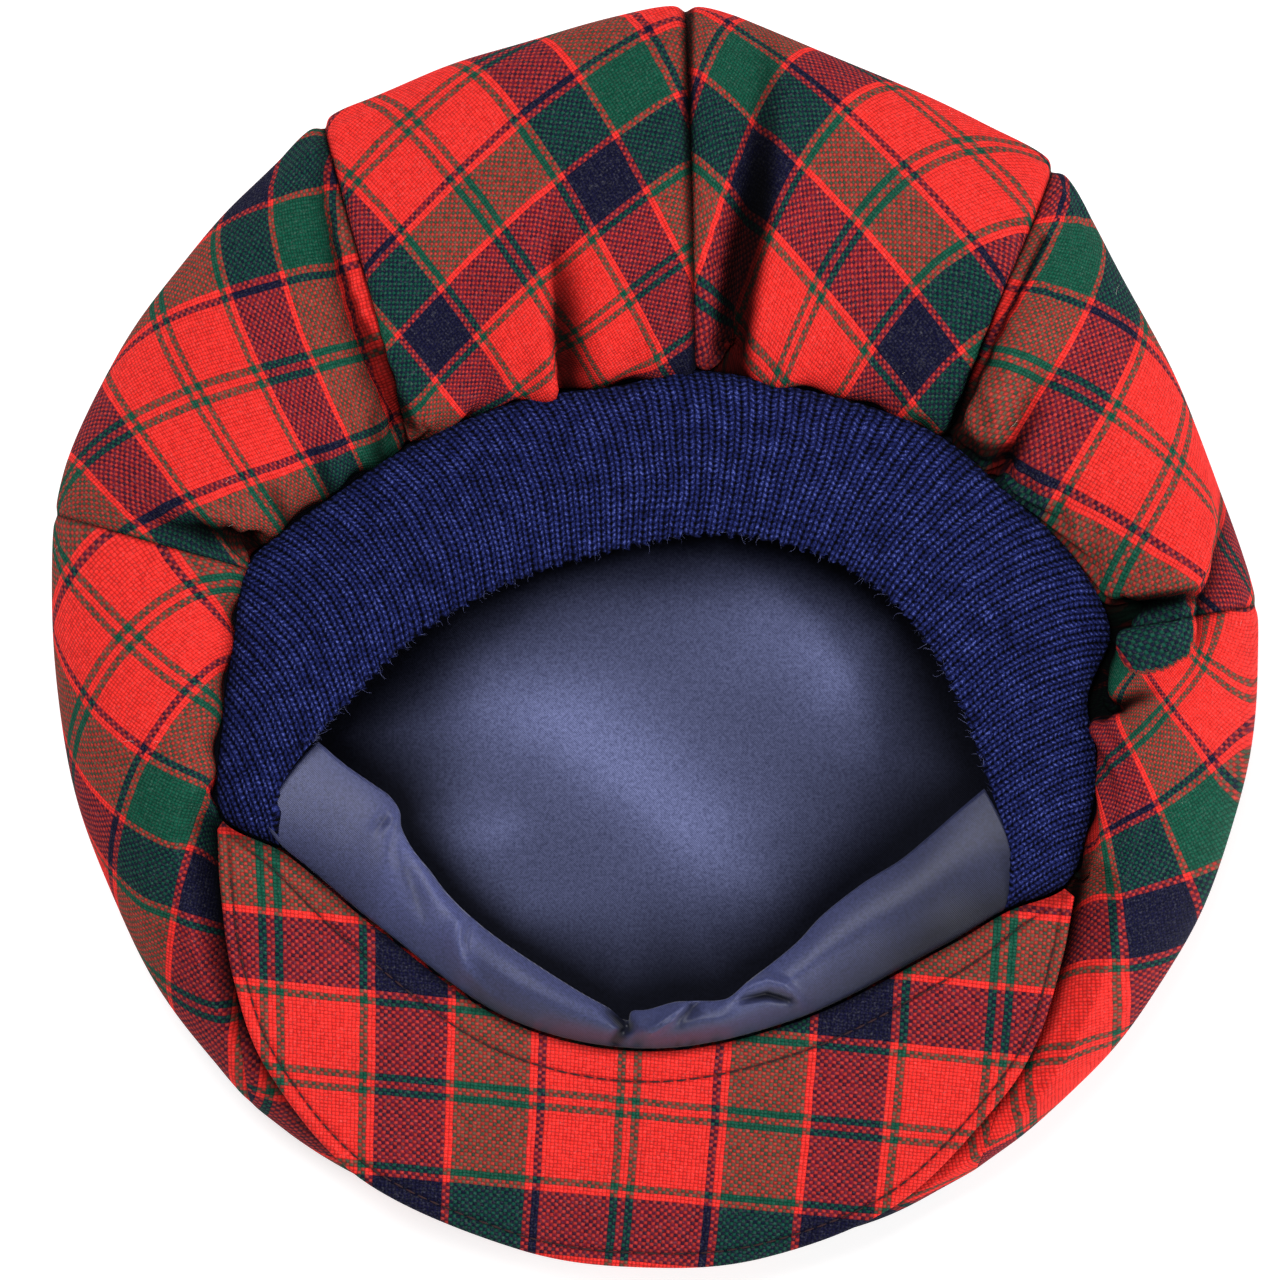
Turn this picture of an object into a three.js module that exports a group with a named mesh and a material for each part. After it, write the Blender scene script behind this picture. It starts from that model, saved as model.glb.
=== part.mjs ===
import * as THREE from "three";

// A tartan flat cap with a full crown of eight panels, lying upside down on its crown.
// The peak points to the front (minus Y), the back of the head is at plus Y and the opening faces up.
// All sizes are in millimetres.

// Cloth thicknesses and the clearance left between neighbouring pieces
const clothWall = 2.0;
const liningWall = 1.0;
const knitWall = 3.0;
const satinWall = 1.2;
const peakThickness = 4.0;
const pieceGap = 0.4;

// Flat part of the crown that rests on the table, as a share of the rim reach
const restShare = 0.62;
const crownTipRadius = 1.0;

// Heights of the peak: at its corners, and how far the middle of its edge hangs below them
const peakCornerHeight = 50;
const peakArch = 4;
const peakFall = 24;
const peakFallStart = -45;
const peakFallLength = 102;
const peakFallPower = 1.7;
const peakEdgeThickness = 2.2;
const peakMargin = 1.5;

// How the lining is smaller than the crown around it
const liningInset = 6;
const liningFloor = 2.7;
const liningDrop = 10.5;
const liningNeckDrop = 3.2;

// Height of the knitted band and the front facing
const bandFootHeight = 50.5;
const bandClearance = 1.0;
const bandDome = 2.5;
const facingFootDrop = 1.0;
const facingClearance = 0.6;

// Grid divisions
const panelColumns = 12;
const liningColumns = 4;
const bandColumns = 60;
const bandRows = 4;
const peakColumns = 28;
const peakRows = 5;
const facingColumns = 32;
const facingRows = 4;

// Sections of the crown, going anticlockwise seen from above: a row for each seam and a row for the
// middle of the panel after it. Rim is the widest part of the section, puff is its highest part,
// puffShare is how far the puff lies out from the neck, and neckAt is the place on the neck line.
const crownSections = [
  { place: "seam right", rimAngle: 3, rimReach: 140.6, rimHeight: 27, puffHeight: 54, puffShare: 0.34, neckAt: 0 },
  { place: "side right back", rimAngle: 26, rimReach: 135.4, rimHeight: 28, puffHeight: 57, puffShare: 0.34, neckAt: 1.5 },
  { place: "seam right back", rimAngle: 49.5, rimReach: 144.0, rimHeight: 27, puffHeight: 54.5, puffShare: 0.3, neckAt: 3 },
  { place: "back right", rimAngle: 68, rimReach: 141.4, rimHeight: 27, puffHeight: 57, puffShare: 0.26, neckAt: 4.5 },
  { place: "seam back", rimAngle: 87.2, rimReach: 147.4, rimHeight: 26, puffHeight: 55.5, puffShare: 0.24, neckAt: 6 },
  { place: "back left", rimAngle: 105, rimReach: 142.2, rimHeight: 27, puffHeight: 57, puffShare: 0.26, neckAt: 7.5 },
  { place: "seam left back", rimAngle: 123, rimReach: 142.9, rimHeight: 27, puffHeight: 54.5, puffShare: 0.3, neckAt: 9 },
  { place: "side left back", rimAngle: 148, rimReach: 141.2, rimHeight: 28, puffHeight: 57, puffShare: 0.3, neckAt: 10.5 },
  { place: "seam left", rimAngle: 168.5, rimReach: 142.8, rimHeight: 27, puffHeight: 55, puffShare: 0.3, neckAt: 12 },
  { place: "side left front", rimAngle: 200, rimReach: 140.3, rimHeight: 26, puffHeight: 57, puffShare: 0.3, neckAt: 13.5 },
  { place: "seam front left", rimAngle: 229, rimReach: 144.4, rimHeight: 20, puffHeight: 53, puffShare: 0.26, neckAt: 15 },
  { place: "front left", rimAngle: 248.5, rimReach: 144.0, rimHeight: 14, puffHeight: 48, puffShare: 0.2, neckAt: 17 },
  { place: "seam front", rimAngle: 268, rimReach: 144.6, rimHeight: 12, puffHeight: 46, puffShare: 0.2, neckAt: 19 },
  { place: "front right", rimAngle: 284.5, rimReach: 146.0, rimHeight: 13, puffHeight: 48, puffShare: 0.2, neckAt: 21 },
  { place: "seam front right", rimAngle: 301, rimReach: 147.0, rimHeight: 18, puffHeight: 53, puffShare: 0.26, neckAt: 23 },
  { place: "side right front", rimAngle: 332, rimReach: 142.8, rimHeight: 25, puffHeight: 57, puffShare: 0.32, neckAt: 25 },
];

// The neck line, where crown, band, peak and facing are sewn together, anticlockwise from the right seam
const neckLine = [
  { x: 105.5, y: 2, foot: 47 },
  { x: 96.5, y: 19.5, foot: 47 },
  { x: 82, y: 33.5, foot: 47 },
  { x: 67.5, y: 46, foot: 47 },
  { x: 52, y: 53, foot: 47 },
  { x: 33, y: 58, foot: 47 },
  { x: 10, y: 62, foot: 47 },
  { x: -9, y: 58.5, foot: 47 },
  { x: -32, y: 55, foot: 47 },
  { x: -57, y: 44.5, foot: 47 },
  { x: -74, y: 33.5, foot: 47 },
  { x: -86, y: 25, foot: 47 },
  { x: -95, y: 16, foot: 47 },
  { x: -98, y: -2, foot: 47 },
  { x: -100.5, y: -20, foot: 47 },
  { x: -100.5, y: -41, foot: 45 },
  { x: -84.5, y: -50.5, foot: 43 },
  { x: -64, y: -67.5, foot: 40 },
  { x: -34, y: -89, foot: 38 },
  { x: -1, y: -96, foot: 36 },
  { x: 33, y: -89, foot: 38 },
  { x: 66, y: -72.3, foot: 40 },
  { x: 81, y: -63.5, foot: 42 },
  { x: 95.5, y: -57, foot: 44.5 },
  { x: 101, y: -42, foot: 47 },
  { x: 102.5, y: -28, foot: 47 },
  { x: 100.5, y: -14, foot: 47 },
];
const leftCornerAt = 15;
const rightCornerAt = 23;
const leftBandEndAt = 16;
const rightBandEndAt = 22;

// Outer edge of the peak from the left corner to the right corner, in equal steps along the neck line
const peakEdge = [
  { x: -101, y: -44.5 },
  { x: -100.3, y: -59 },
  { x: -97.5, y: -79 },
  { x: -89.5, y: -101 },
  { x: -68, y: -126.5 },
  { x: -32, y: -143 },
  { x: -3, y: -147.4 },
  { x: 25, y: -145.2 },
  { x: 56, y: -132.5 },
  { x: 79, y: -109 },
  { x: 88.5, y: -93.5 },
  { x: 94, y: -75 },
  { x: 96.8, y: -60 },
];

// Free edge of the knitted band from its left end round the back to its right end, in equal steps
const bandFreeEdge = [
  { x: -80, y: -25.5, height: 56 },
  { x: -76.5, y: -21, height: 57 },
  { x: -69, y: -13, height: 58 },
  { x: -58, y: -2, height: 59 },
  { x: -45, y: 7, height: 60 },
  { x: -27, y: 15.3, height: 61 },
  { x: -4, y: 21.5, height: 62 },
  { x: 15, y: 24, height: 62 },
  { x: 34, y: 20.5, height: 61 },
  { x: 47, y: 14.3, height: 60 },
  { x: 57, y: 6, height: 59 },
  { x: 64.5, y: -4, height: 58 },
  { x: 71, y: -17, height: 58 },
  { x: 75.5, y: -29, height: 57 },
  { x: 77.6, y: -36, height: 56 },
];

// Free edge of the front facing from its left end to its right end, in equal steps
const facingFreeEdge = [
  { x: -79.4, y: -26.6, height: 56 },
  { x: -70, y: -33.5, height: 57 },
  { x: -59.5, y: -43.5, height: 58 },
  { x: -47, y: -60.5, height: 57 },
  { x: -31, y: -73, height: 57 },
  { x: -15.5, y: -84, height: 56 },
  { x: -5.5, y: -89.3, height: 53 },
  { x: 6, y: -85, height: 56 },
  { x: 17, y: -83, height: 57 },
  { x: 34, y: -69.5, height: 58 },
  { x: 51, y: -56, height: 58 },
  { x: 65, y: -44.5, height: 57 },
  { x: 77, y: -37.3, height: 56 },
];

// Folds in the cloth between rim and neck: a line on plan, how wide it is and how much it rises or dips
const folds = [
  { place: "ridge on the back left panel", fromX: -28, fromY: 86, toX: -27, toY: 60, width: 7, rise: 2.5 },
  { place: "groove beside that ridge", fromX: -19, fromY: 82, toX: -19, toY: 58, width: 5, rise: -3.5 },
  { place: "pleat beside the back seam", fromX: 18.5, fromY: 112, toX: 17.5, toY: 60, width: 6, rise: -5 },
  { place: "roll over the back seam", fromX: 7, fromY: 100, toX: 7, toY: 64, width: 7, rise: 1.5 },
  { place: "dip along the left back seam", fromX: -74, fromY: 90, toX: -59, toY: 48, width: 6, rise: -3.5 },
  { place: "dip along the right back seam", fromX: 88, fromY: 92, toX: 69, toY: 48, width: 6, rise: -4 },
  { place: "roll beside the right back seam", fromX: 95, fromY: 72, toX: 79, toY: 46, width: 8, rise: 2 },
  { place: "tuck on the left side", fromX: -121, fromY: 27, toX: -99, toY: 22, width: 6, rise: -4 },
  { place: "valley on the right side", fromX: 127, fromY: 10, toX: 108, toY: 6, width: 6, rise: -4.5 },
  { place: "second valley on the right side", fromX: 113, fromY: -13, toX: 102, toY: -18, width: 5, rise: -3.5 },
  { place: "roll between the two valleys", fromX: 122, fromY: -4, toX: 108, toY: -5, width: 6, rise: 2 },
  { place: "soft dip on the right front", fromX: 106, fromY: -58, toX: 110, toY: -80, width: 7, rise: -2.5 },
];

// Names of the panels, in the order of the sections
const panelNames = [
  "crown_panel_side_right_back",
  "crown_panel_back_right",
  "crown_panel_back_left",
  "crown_panel_side_left_back",
  "crown_panel_side_left_front",
  "crown_panel_front_left",
  "crown_panel_front_right",
  "crown_panel_side_right_front",
];

// Stages of a crown section from the middle of the top to the neck, with their grid divisions
const sectionStages = [
  { stage: "rest", panelDivisions: 1, liningDivisions: 1 },
  { stage: "side", panelDivisions: 5, liningDivisions: 4 },
  { stage: "under", panelDivisions: 8, liningDivisions: 4 },
  { stage: "curl", panelDivisions: 4, liningDivisions: 2 },
];

// Curve through the values of four neighbouring rows
function throughRows(before, start, end, after, share) {
  const slopeStart = (end - before) / 2;
  const slopeEnd = (after - start) / 2;
  const square = share * share;
  const cube = square * share;
  return (
    (2 * cube - 3 * square + 1) * start +
    (cube - 2 * square + share) * slopeStart +
    (3 * square - 2 * cube) * end +
    (cube - square) * slopeEnd
  );
}

// Value of one column of a table at a place between its rows
function readTable(table, column, place, loops) {
  const count = table.length;
  const last = count - 1;
  const row = (index) => {
    if (loops) {
      return table[((index % count) + count) % count][column];
    }
    if (index < 0) {
      return 2 * table[0][column] - table[1][column];
    }
    if (index > last) {
      return 2 * table[last][column] - table[last - 1][column];
    }
    return table[index][column];
  };
  const start = loops ? Math.floor(place) : Math.min(Math.max(Math.floor(place), 0), last - 1);
  return throughRows(row(start - 1), row(start), row(start + 1), row(start + 2), place - start);
}

// Curve of the second degree through three values, used across each panel so that seams stay corners
function acrossPanel(start, middle, end, share) {
  const first = (2 * share - 1) * (share - 1);
  const second = 4 * share * (1 - share);
  const third = share * (2 * share - 1);
  return first * start + second * middle + third * end;
}

// Height of the upper face of the peak over a point on plan
function peakHeight(x, y) {
  const fallen = Math.max(peakFallStart - y, 0) / peakFallLength;
  return peakCornerHeight + peakArch * (x / 100) ** 2 - peakFall * fallen ** peakFallPower;
}

// Point of the neck line, moved outwards by a distance
function neckPoint(place, outwards) {
  const step = 0.05;
  const x = readTable(neckLine, "x", place, true);
  const y = readTable(neckLine, "y", place, true);
  const alongX = readTable(neckLine, "x", place + step, true) - readTable(neckLine, "x", place - step, true);
  const alongY = readTable(neckLine, "y", place + step, true) - readTable(neckLine, "y", place - step, true);
  const length = Math.hypot(alongX, alongY);
  return { x: x + (outwards * alongY) / length, y: y - (outwards * alongX) / length };
}

// Outline of the peak on plan, used to keep the crown below it
function peakOutline() {
  const outline = [];
  for (let place = 0; place <= peakEdge.length - 1; place += 0.5) {
    outline.push({ x: readTable(peakEdge, "x", place, false), y: readTable(peakEdge, "y", place, false) });
  }
  return outline;
}
const peakPlan = peakOutline();

// Distance of a point on plan outside the peak, zero when it lies under the peak
function distanceFromPeak(x, y) {
  let inside = false;
  let nearest = Infinity;
  for (let i = 0; i < peakPlan.length; i += 1) {
    const a = peakPlan[i];
    const b = peakPlan[(i + 1) % peakPlan.length];
    const spanX = b.x - a.x;
    const spanY = b.y - a.y;
    const share = ((x - a.x) * spanX + (y - a.y) * spanY) / (spanX * spanX + spanY * spanY);
    const held = Math.min(Math.max(share, 0), 1);
    nearest = Math.min(nearest, Math.hypot(x - a.x - held * spanX, y - a.y - held * spanY));
    if (a.y > y !== b.y > y && x < a.x + ((y - a.y) * spanX) / spanY) {
      inside = !inside;
    }
  }
  return inside ? 0 : nearest;
}

// Height above which the crown may not rise near the peak, and the soft limit itself
function heightUnderPeak(x, y) {
  const away = Math.max(distanceFromPeak(x, y) - peakMargin, 0);
  const under = peakHeight(x, y) - peakThickness * 1.08 - pieceGap - 0.4;
  return under + 0.12 * away * away + 0.5 * away;
}
function holdBelow(height, limit, softness) {
  const start = limit - softness;
  if (height <= start) {
    return height;
  }
  return limit - softness * Math.exp(-(height - start) / softness);
}

// Rise of all the folds together over a point on plan
function foldRise(x, y) {
  let rise = 0;
  for (const fold of folds) {
    const spanX = fold.toX - fold.fromX;
    const spanY = fold.toY - fold.fromY;
    const share = ((x - fold.fromX) * spanX + (y - fold.fromY) * spanY) / (spanX * spanX + spanY * spanY);
    const held = Math.min(Math.max(share, 0), 1);
    const away = Math.hypot(x - fold.fromX - held * spanX, y - fold.fromY - held * spanY);
    rise += fold.rise * Math.exp(-((away / fold.width) ** 2));
  }
  return rise;
}

// The section of the crown at a turn of 0 to 8, whole numbers being the seams
function sectionAt(turn) {
  const wrapped = ((turn % 8) + 8) % 8;
  const panel = Math.floor(wrapped);
  const share = wrapped - panel;
  const rows = [0, 1, 2].map((offset) => crownSections[(panel * 2 + offset) % crownSections.length]);
  const angles = rows.map((row) => THREE.MathUtils.degToRad(row.rimAngle));
  const mix = (values) => acrossPanel(values[0], values[1], values[2], share);
  const neckStart = rows[0].neckAt;
  const neckEnd = rows[2].neckAt > neckStart ? rows[2].neckAt : rows[2].neckAt + neckLine.length;
  const neckPlace = neckStart + (neckEnd - neckStart) * share;
  return {
    rimX: mix(rows.map((row, i) => row.rimReach * Math.cos(angles[i]))),
    rimY: mix(rows.map((row, i) => row.rimReach * Math.sin(angles[i]))),
    rimHeight: mix(rows.map((row) => row.rimHeight)),
    puffHeight: mix(rows.map((row) => row.puffHeight)),
    puffShare: mix(rows.map((row) => row.puffShare)),
    neckHeight: readTable(neckLine, "foot", neckPlace, true),
    neck: neckPoint(neckPlace, 0),
  };
}

// Point of the crown at a turn and at a stage of the section; the lining is the same form made smaller
function crownPoint(turn, stage, share, lining) {
  const section = sectionAt(turn);
  const inset = lining ? liningInset : 0;
  const floor = lining ? liningFloor : 0;
  const reach = Math.hypot(section.rimX, section.rimY);
  const rimX = (section.rimX * (reach - inset)) / reach;
  const rimY = (section.rimY * (reach - inset)) / reach;
  const restX = section.rimX * restShare;
  const restY = section.rimY * restShare;
  const puffX = section.neck.x + (rimX - section.neck.x) * section.puffShare;
  const puffY = section.neck.y + (rimY - section.neck.y) * section.puffShare;
  const puffHeight = section.puffHeight - (lining ? liningDrop : 0);
  const neckHeight = section.neckHeight - (lining ? liningNeckDrop : 0);
  const turnAngle = (share * Math.PI) / 2;
  const sine = Math.sin(turnAngle);
  const cosine = Math.cos(turnAngle);
  if (stage === "rest") {
    const start = lining ? 0 : crownTipRadius / (reach * restShare);
    const out = start + (1 - start) * share;
    return new THREE.Vector3(restX * out, restY * out, floor);
  }
  if (stage === "side") {
    return new THREE.Vector3(
      restX + (rimX - restX) * sine,
      restY + (rimY - restY) * sine,
      floor + (section.rimHeight - floor) * (1 - cosine),
    );
  }
  const under = stage === "under";
  const x = under ? puffX + (rimX - puffX) * cosine : puffX + (section.neck.x - puffX) * sine;
  const y = under ? puffY + (rimY - puffY) * cosine : puffY + (section.neck.y - puffY) * sine;
  const plain = under
    ? section.rimHeight + (puffHeight - section.rimHeight) * sine
    : puffHeight - (puffHeight - neckHeight) * (1 - cosine);
  const folded = lining ? plain : plain + foldRise(x, y) * (under ? sine : cosine);
  const limit = heightUnderPeak(x, y) - (lining ? 4.5 : 0);
  return new THREE.Vector3(x, y, holdBelow(folded, limit, 2));
}

// Directions of the crown at a point: outwards, along its section and sideways across it
function crownDirections(turn, stage, share, lining) {
  const turnStep = 0.03;
  const shareStep = 0.02;
  const early = Math.max(share - shareStep, 0);
  const late = Math.min(share + shareStep, 1);
  const along = crownPoint(turn, stage, late, lining).sub(crownPoint(turn, stage, early, lining)).normalize();
  const outward = new THREE.Vector3(0, 0, -1);
  if (stage !== "rest") {
    const around = crownPoint(turn + turnStep, stage, share, lining);
    around.sub(crownPoint(turn - turnStep, stage, share, lining));
    outward.copy(around.cross(along)).normalize();
  }
  const sideways = along.clone().cross(outward).normalize();
  return { outward, along, sideways };
}

// Rows of a crown grid as pairs of stage and share
function sectionRows(lining) {
  const rows = [{ stage: "rest", share: 0 }];
  for (const { stage, panelDivisions, liningDivisions } of sectionStages) {
    const divisions = lining ? liningDivisions : panelDivisions;
    for (let i = 1; i <= divisions; i += 1) {
      rows.push({ stage, share: i / divisions });
    }
  }
  return rows;
}

// Closed solid between an outer and an inner grid of points, open or looping across its columns
function solidBetween(outer, inner, loops, pole) {
  const rowCount = outer.length;
  const columnCount = outer[0].length;
  const points = [];
  const faces = [];
  const number = (grid) =>
    grid.map((row, rowIndex) => {
      if (pole && rowIndex === 0) {
        points.push(row[0]);
        return row.map(() => points.length - 1);
      }
      return row.map((point) => points.push(point) - 1);
    });
  const outerIds = number(outer);
  const innerIds = number(inner);
  const addFace = (a, b, c) => {
    if (a !== b && b !== c && a !== c) {
      faces.push(a, b, c);
    }
  };
  const addQuad = (a, b, c, d) => {
    addFace(a, b, c);
    addFace(a, c, d);
  };
  const columnEnd = loops ? columnCount : columnCount - 1;
  const next = (column) => (column + 1) % columnCount;
  for (let i = 0; i < rowCount - 1; i += 1) {
    for (let j = 0; j < columnEnd; j += 1) {
      const k = next(j);
      addQuad(outerIds[i][j], outerIds[i][k], outerIds[i + 1][k], outerIds[i + 1][j]);
      addQuad(innerIds[i][j], innerIds[i + 1][j], innerIds[i + 1][k], innerIds[i][k]);
    }
  }
  const last = rowCount - 1;
  for (let j = 0; j < columnEnd; j += 1) {
    const k = next(j);
    addQuad(outerIds[last][j], outerIds[last][k], innerIds[last][k], innerIds[last][j]);
    if (!pole) {
      addQuad(outerIds[0][k], outerIds[0][j], innerIds[0][j], innerIds[0][k]);
    }
  }
  if (!loops) {
    const end = columnCount - 1;
    for (let i = 0; i < last; i += 1) {
      addQuad(outerIds[i][0], outerIds[i + 1][0], innerIds[i + 1][0], innerIds[i][0]);
      addQuad(outerIds[i][end], innerIds[i][end], innerIds[i + 1][end], outerIds[i + 1][end]);
    }
  }
  return closedGeometry(points, faces);
}

// Geometry from points and faces, turned inside out when its volume comes out negative
function closedGeometry(points, faces) {
  let volume = 0;
  for (let i = 0; i < faces.length; i += 3) {
    const a = points[faces[i]];
    const b = points[faces[i + 1]];
    const c = points[faces[i + 2]];
    volume += a.dot(b.clone().cross(c));
  }
  const ordered = volume > 0 ? faces : [...faces].reverse();
  const geometry = new THREE.BufferGeometry();
  geometry.setAttribute(
    "position",
    new THREE.Float32BufferAttribute(points.flatMap((point) => [point.x, point.y, point.z]), 3),
  );
  geometry.setIndex(ordered);
  geometry.computeVertexNormals();
  return geometry;
}

// One panel of the crown, from the middle of the top round the rim to the neck
function makePanel(panel) {
  const outer = [];
  const inner = [];
  for (const { stage, share } of sectionRows(false)) {
    const outerRow = [];
    const innerRow = [];
    for (let j = 0; j <= panelColumns; j += 1) {
      const turn = panel + j / panelColumns;
      const { outward, sideways } = crownDirections(turn, stage, share, false);
      const point = crownPoint(turn, stage, share, false);
      point.addScaledVector(sideways, (pieceGap / 2) * (1 - (2 * j) / panelColumns));
      outerRow.push(point);
      innerRow.push(point.clone().addScaledVector(outward, -clothWall));
    }
    outer.push(outerRow);
    inner.push(innerRow);
  }
  return solidBetween(outer, inner, false, false);
}

// The lining, a plain bag inside the crown
function makeLining() {
  const outer = [];
  const inner = [];
  const count = panelNames.length * liningColumns;
  for (const { stage, share } of sectionRows(true)) {
    const outerRow = [];
    const innerRow = [];
    for (let j = 0; j < count; j += 1) {
      const turn = j / liningColumns;
      const point = crownPoint(turn, stage, share, true);
      outerRow.push(point);
      const { outward } = crownDirections(turn, stage, share, true);
      innerRow.push(point.clone().addScaledVector(outward, -liningWall));
    }
    outer.push(outerRow);
    inner.push(innerRow);
  }
  return solidBetween(outer, inner, true, true);
}

// A strip between a lower curve and an upper curve, with a thickness below its face
function makeStrip(columns, rows, surface, thicknessAt, straightDown) {
  const outer = [];
  const inner = [];
  const step = 0.01;
  for (let i = 0; i <= rows; i += 1) {
    const outerRow = [];
    const innerRow = [];
    for (let j = 0; j <= columns; j += 1) {
      const u = j / columns;
      const v = i / rows;
      const point = surface(u, v);
      const alongU = surface(Math.min(u + step, 1), v).sub(surface(Math.max(u - step, 0), v));
      const alongV = surface(u, Math.min(v + step, 1)).sub(surface(u, Math.max(v - step, 0)));
      const up = straightDown ? new THREE.Vector3(0, 0, 1) : alongU.cross(alongV).normalize();
      if (up.z < 0) {
        up.negate();
      }
      const thickness = thicknessAt(u, v);
      outerRow.push(point);
      innerRow.push(point.clone().addScaledVector(up, -thickness));
    }
    outer.push(outerRow);
    inner.push(innerRow);
  }
  return solidBetween(outer, inner, false, false);
}

// The peak: a stiff crescent between the neck line and its own outer edge
function makePeak() {
  const surface = (u, v) => {
    const foot = neckPoint(leftCornerAt + 0.1 + (rightCornerAt - leftCornerAt - 0.2) * u, 0.2);
    const place = u * (peakEdge.length - 1);
    const x = foot.x + (readTable(peakEdge, "x", place, false) - foot.x) * v;
    const y = foot.y + (readTable(peakEdge, "y", place, false) - foot.y) * v;
    return new THREE.Vector3(x, y, peakHeight(x, y));
  };
  const thicknessAt = (u, v) => (v > 0.99 ? peakEdgeThickness : peakThickness);
  return makeStrip(peakColumns, peakRows, surface, thicknessAt, false);
}

// The knitted band: from the neck line inwards to a free edge, round the sides and the back
function makeBand() {
  const bandSpan = leftBandEndAt + neckLine.length - rightBandEndAt;
  const surface = (u, v) => {
    const foot = neckPoint(leftBandEndAt - bandSpan * u, -bandClearance);
    const place = u * (bandFreeEdge.length - 1);
    const freeHeight = readTable(bandFreeEdge, "height", place, false);
    const x = foot.x + (readTable(bandFreeEdge, "x", place, false) - foot.x) * v;
    const y = foot.y + (readTable(bandFreeEdge, "y", place, false) - foot.y) * v;
    const height = bandFootHeight + (freeHeight - bandFootHeight) * v + bandDome * Math.sin(Math.PI * v);
    return new THREE.Vector3(x, y, height);
  };
  return makeStrip(bandColumns, bandRows, surface, () => knitWall, true);
}

// The front facing: a thin strip from the inner edge of the peak up to a free edge
function makeFacing() {
  const surface = (u, v) => {
    const foot = neckPoint(leftBandEndAt + 0.05 + (rightBandEndAt - leftBandEndAt - 0.1) * u, -facingClearance);
    const place = u * (facingFreeEdge.length - 1);
    const footHeight = peakHeight(foot.x, foot.y) - facingFootDrop;
    const freeHeight = readTable(facingFreeEdge, "height", place, false);
    const x = foot.x + (readTable(facingFreeEdge, "x", place, false) - foot.x) * v;
    const y = foot.y + (readTable(facingFreeEdge, "y", place, false) - foot.y) * v;
    return new THREE.Vector3(x, y, footHeight + (freeHeight - footHeight) * v ** 0.8);
  };
  return makeStrip(facingColumns, facingRows, surface, () => satinWall, false);
}

// Cloths as plain colours
function cloth(name, colour, roughness) {
  const material = new THREE.MeshStandardMaterial({ color: colour, roughness, metalness: 0 });
  material.name = name;
  return material;
}
const tartanWool = cloth("tartan_wool", "#a8322c", 0.9);
const navyKnit = cloth("navy_rib_knit", "#23236e", 0.95);
const navySatin = cloth("navy_satin", "#3a3f60", 0.5);

function namedMesh(name, geometry, material) {
  const mesh = new THREE.Mesh(geometry, material);
  mesh.name = name;
  return mesh;
}

const cap = new THREE.Group();
cap.name = "flat_cap";
panelNames.forEach((name, panel) => cap.add(namedMesh(name, makePanel(panel), tartanWool)));
cap.add(namedMesh("lining", makeLining(), navySatin));
cap.add(namedMesh("knit_band", makeBand(), navyKnit));
cap.add(namedMesh("peak", makePeak(), tartanWool));
cap.add(namedMesh("front_facing", makeFacing(), navySatin));

export default cap;
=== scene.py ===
import math
import bpy
import mathutils
import numpy as np
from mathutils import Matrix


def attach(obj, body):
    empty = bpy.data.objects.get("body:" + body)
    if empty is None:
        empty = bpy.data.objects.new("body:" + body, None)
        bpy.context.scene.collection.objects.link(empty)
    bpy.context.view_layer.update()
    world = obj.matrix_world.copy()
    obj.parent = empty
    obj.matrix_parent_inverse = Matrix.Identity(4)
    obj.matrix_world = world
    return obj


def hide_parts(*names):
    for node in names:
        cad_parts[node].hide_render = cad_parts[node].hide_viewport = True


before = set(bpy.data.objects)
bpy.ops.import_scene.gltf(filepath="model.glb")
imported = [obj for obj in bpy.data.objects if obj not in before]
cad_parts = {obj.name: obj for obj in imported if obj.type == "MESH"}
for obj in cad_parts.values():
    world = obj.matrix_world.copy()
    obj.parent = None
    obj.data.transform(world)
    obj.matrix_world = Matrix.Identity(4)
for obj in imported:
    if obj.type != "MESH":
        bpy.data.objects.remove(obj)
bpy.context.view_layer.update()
print("frame loaded")

# A tartan flat cap with eight panels, lying upside down on its crown.
# Sizes are in millimetres and become metres when a mesh is made.


# Smooth curves, distances and folds, read at many places at once

def alongTable(table, place, loops=False):
    # smooth curve through the rows of a table, read at many places at once
    count = len(table)
    if loops:
        start = np.floor(place).astype(int)
        rows = [table[(start + step) % count] for step in (-1, 0, 1, 2)]
    else:
        start = np.clip(np.floor(place).astype(int), 0, count - 2)
        longer = np.vstack([2 * table[0] - table[1], table, 2 * table[-1] - table[-2]])
        rows = [longer[start + 1 + step] for step in (-1, 0, 1, 2)]
    share = (place - start)[..., None]
    before, first, second, after = rows
    slopeFirst = (second - before) / 2
    slopeSecond = (after - first) / 2
    square = share * share
    cube = square * share
    return ((2 * cube - 3 * square + 1) * first + (cube - 2 * square + share) * slopeFirst
            + (3 * square - 2 * cube) * second + (cube - square) * slopeSecond)


def distanceFromLine(x, y, line):
    # distance of points on plan from a chain of straight stretches
    nearest = np.full(x.shape, 1e9)
    for (ax, ay), (bx, by) in zip(line[:-1], line[1:]):
        spanX, spanY = bx - ax, by - ay
        share = np.clip(((x - ax) * spanX + (y - ay) * spanY) / (spanX ** 2 + spanY ** 2), 0, 1)
        nearest = np.minimum(nearest, np.hypot(x - ax - share * spanX, y - ay - share * spanY))
    return nearest


def insideLoop(x, y, line):
    # whether points on plan lie inside a closed line
    inside = np.zeros(x.shape, bool)
    for (ax, ay), (bx, by) in zip(line, np.roll(line, -1, axis=0)):
        crosses = (ay > y) != (by > y)
        step = (y - ay) / np.where(by == ay, 1, by - ay)
        inside ^= crosses & (x < ax + step * (bx - ax))
    return inside


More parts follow.
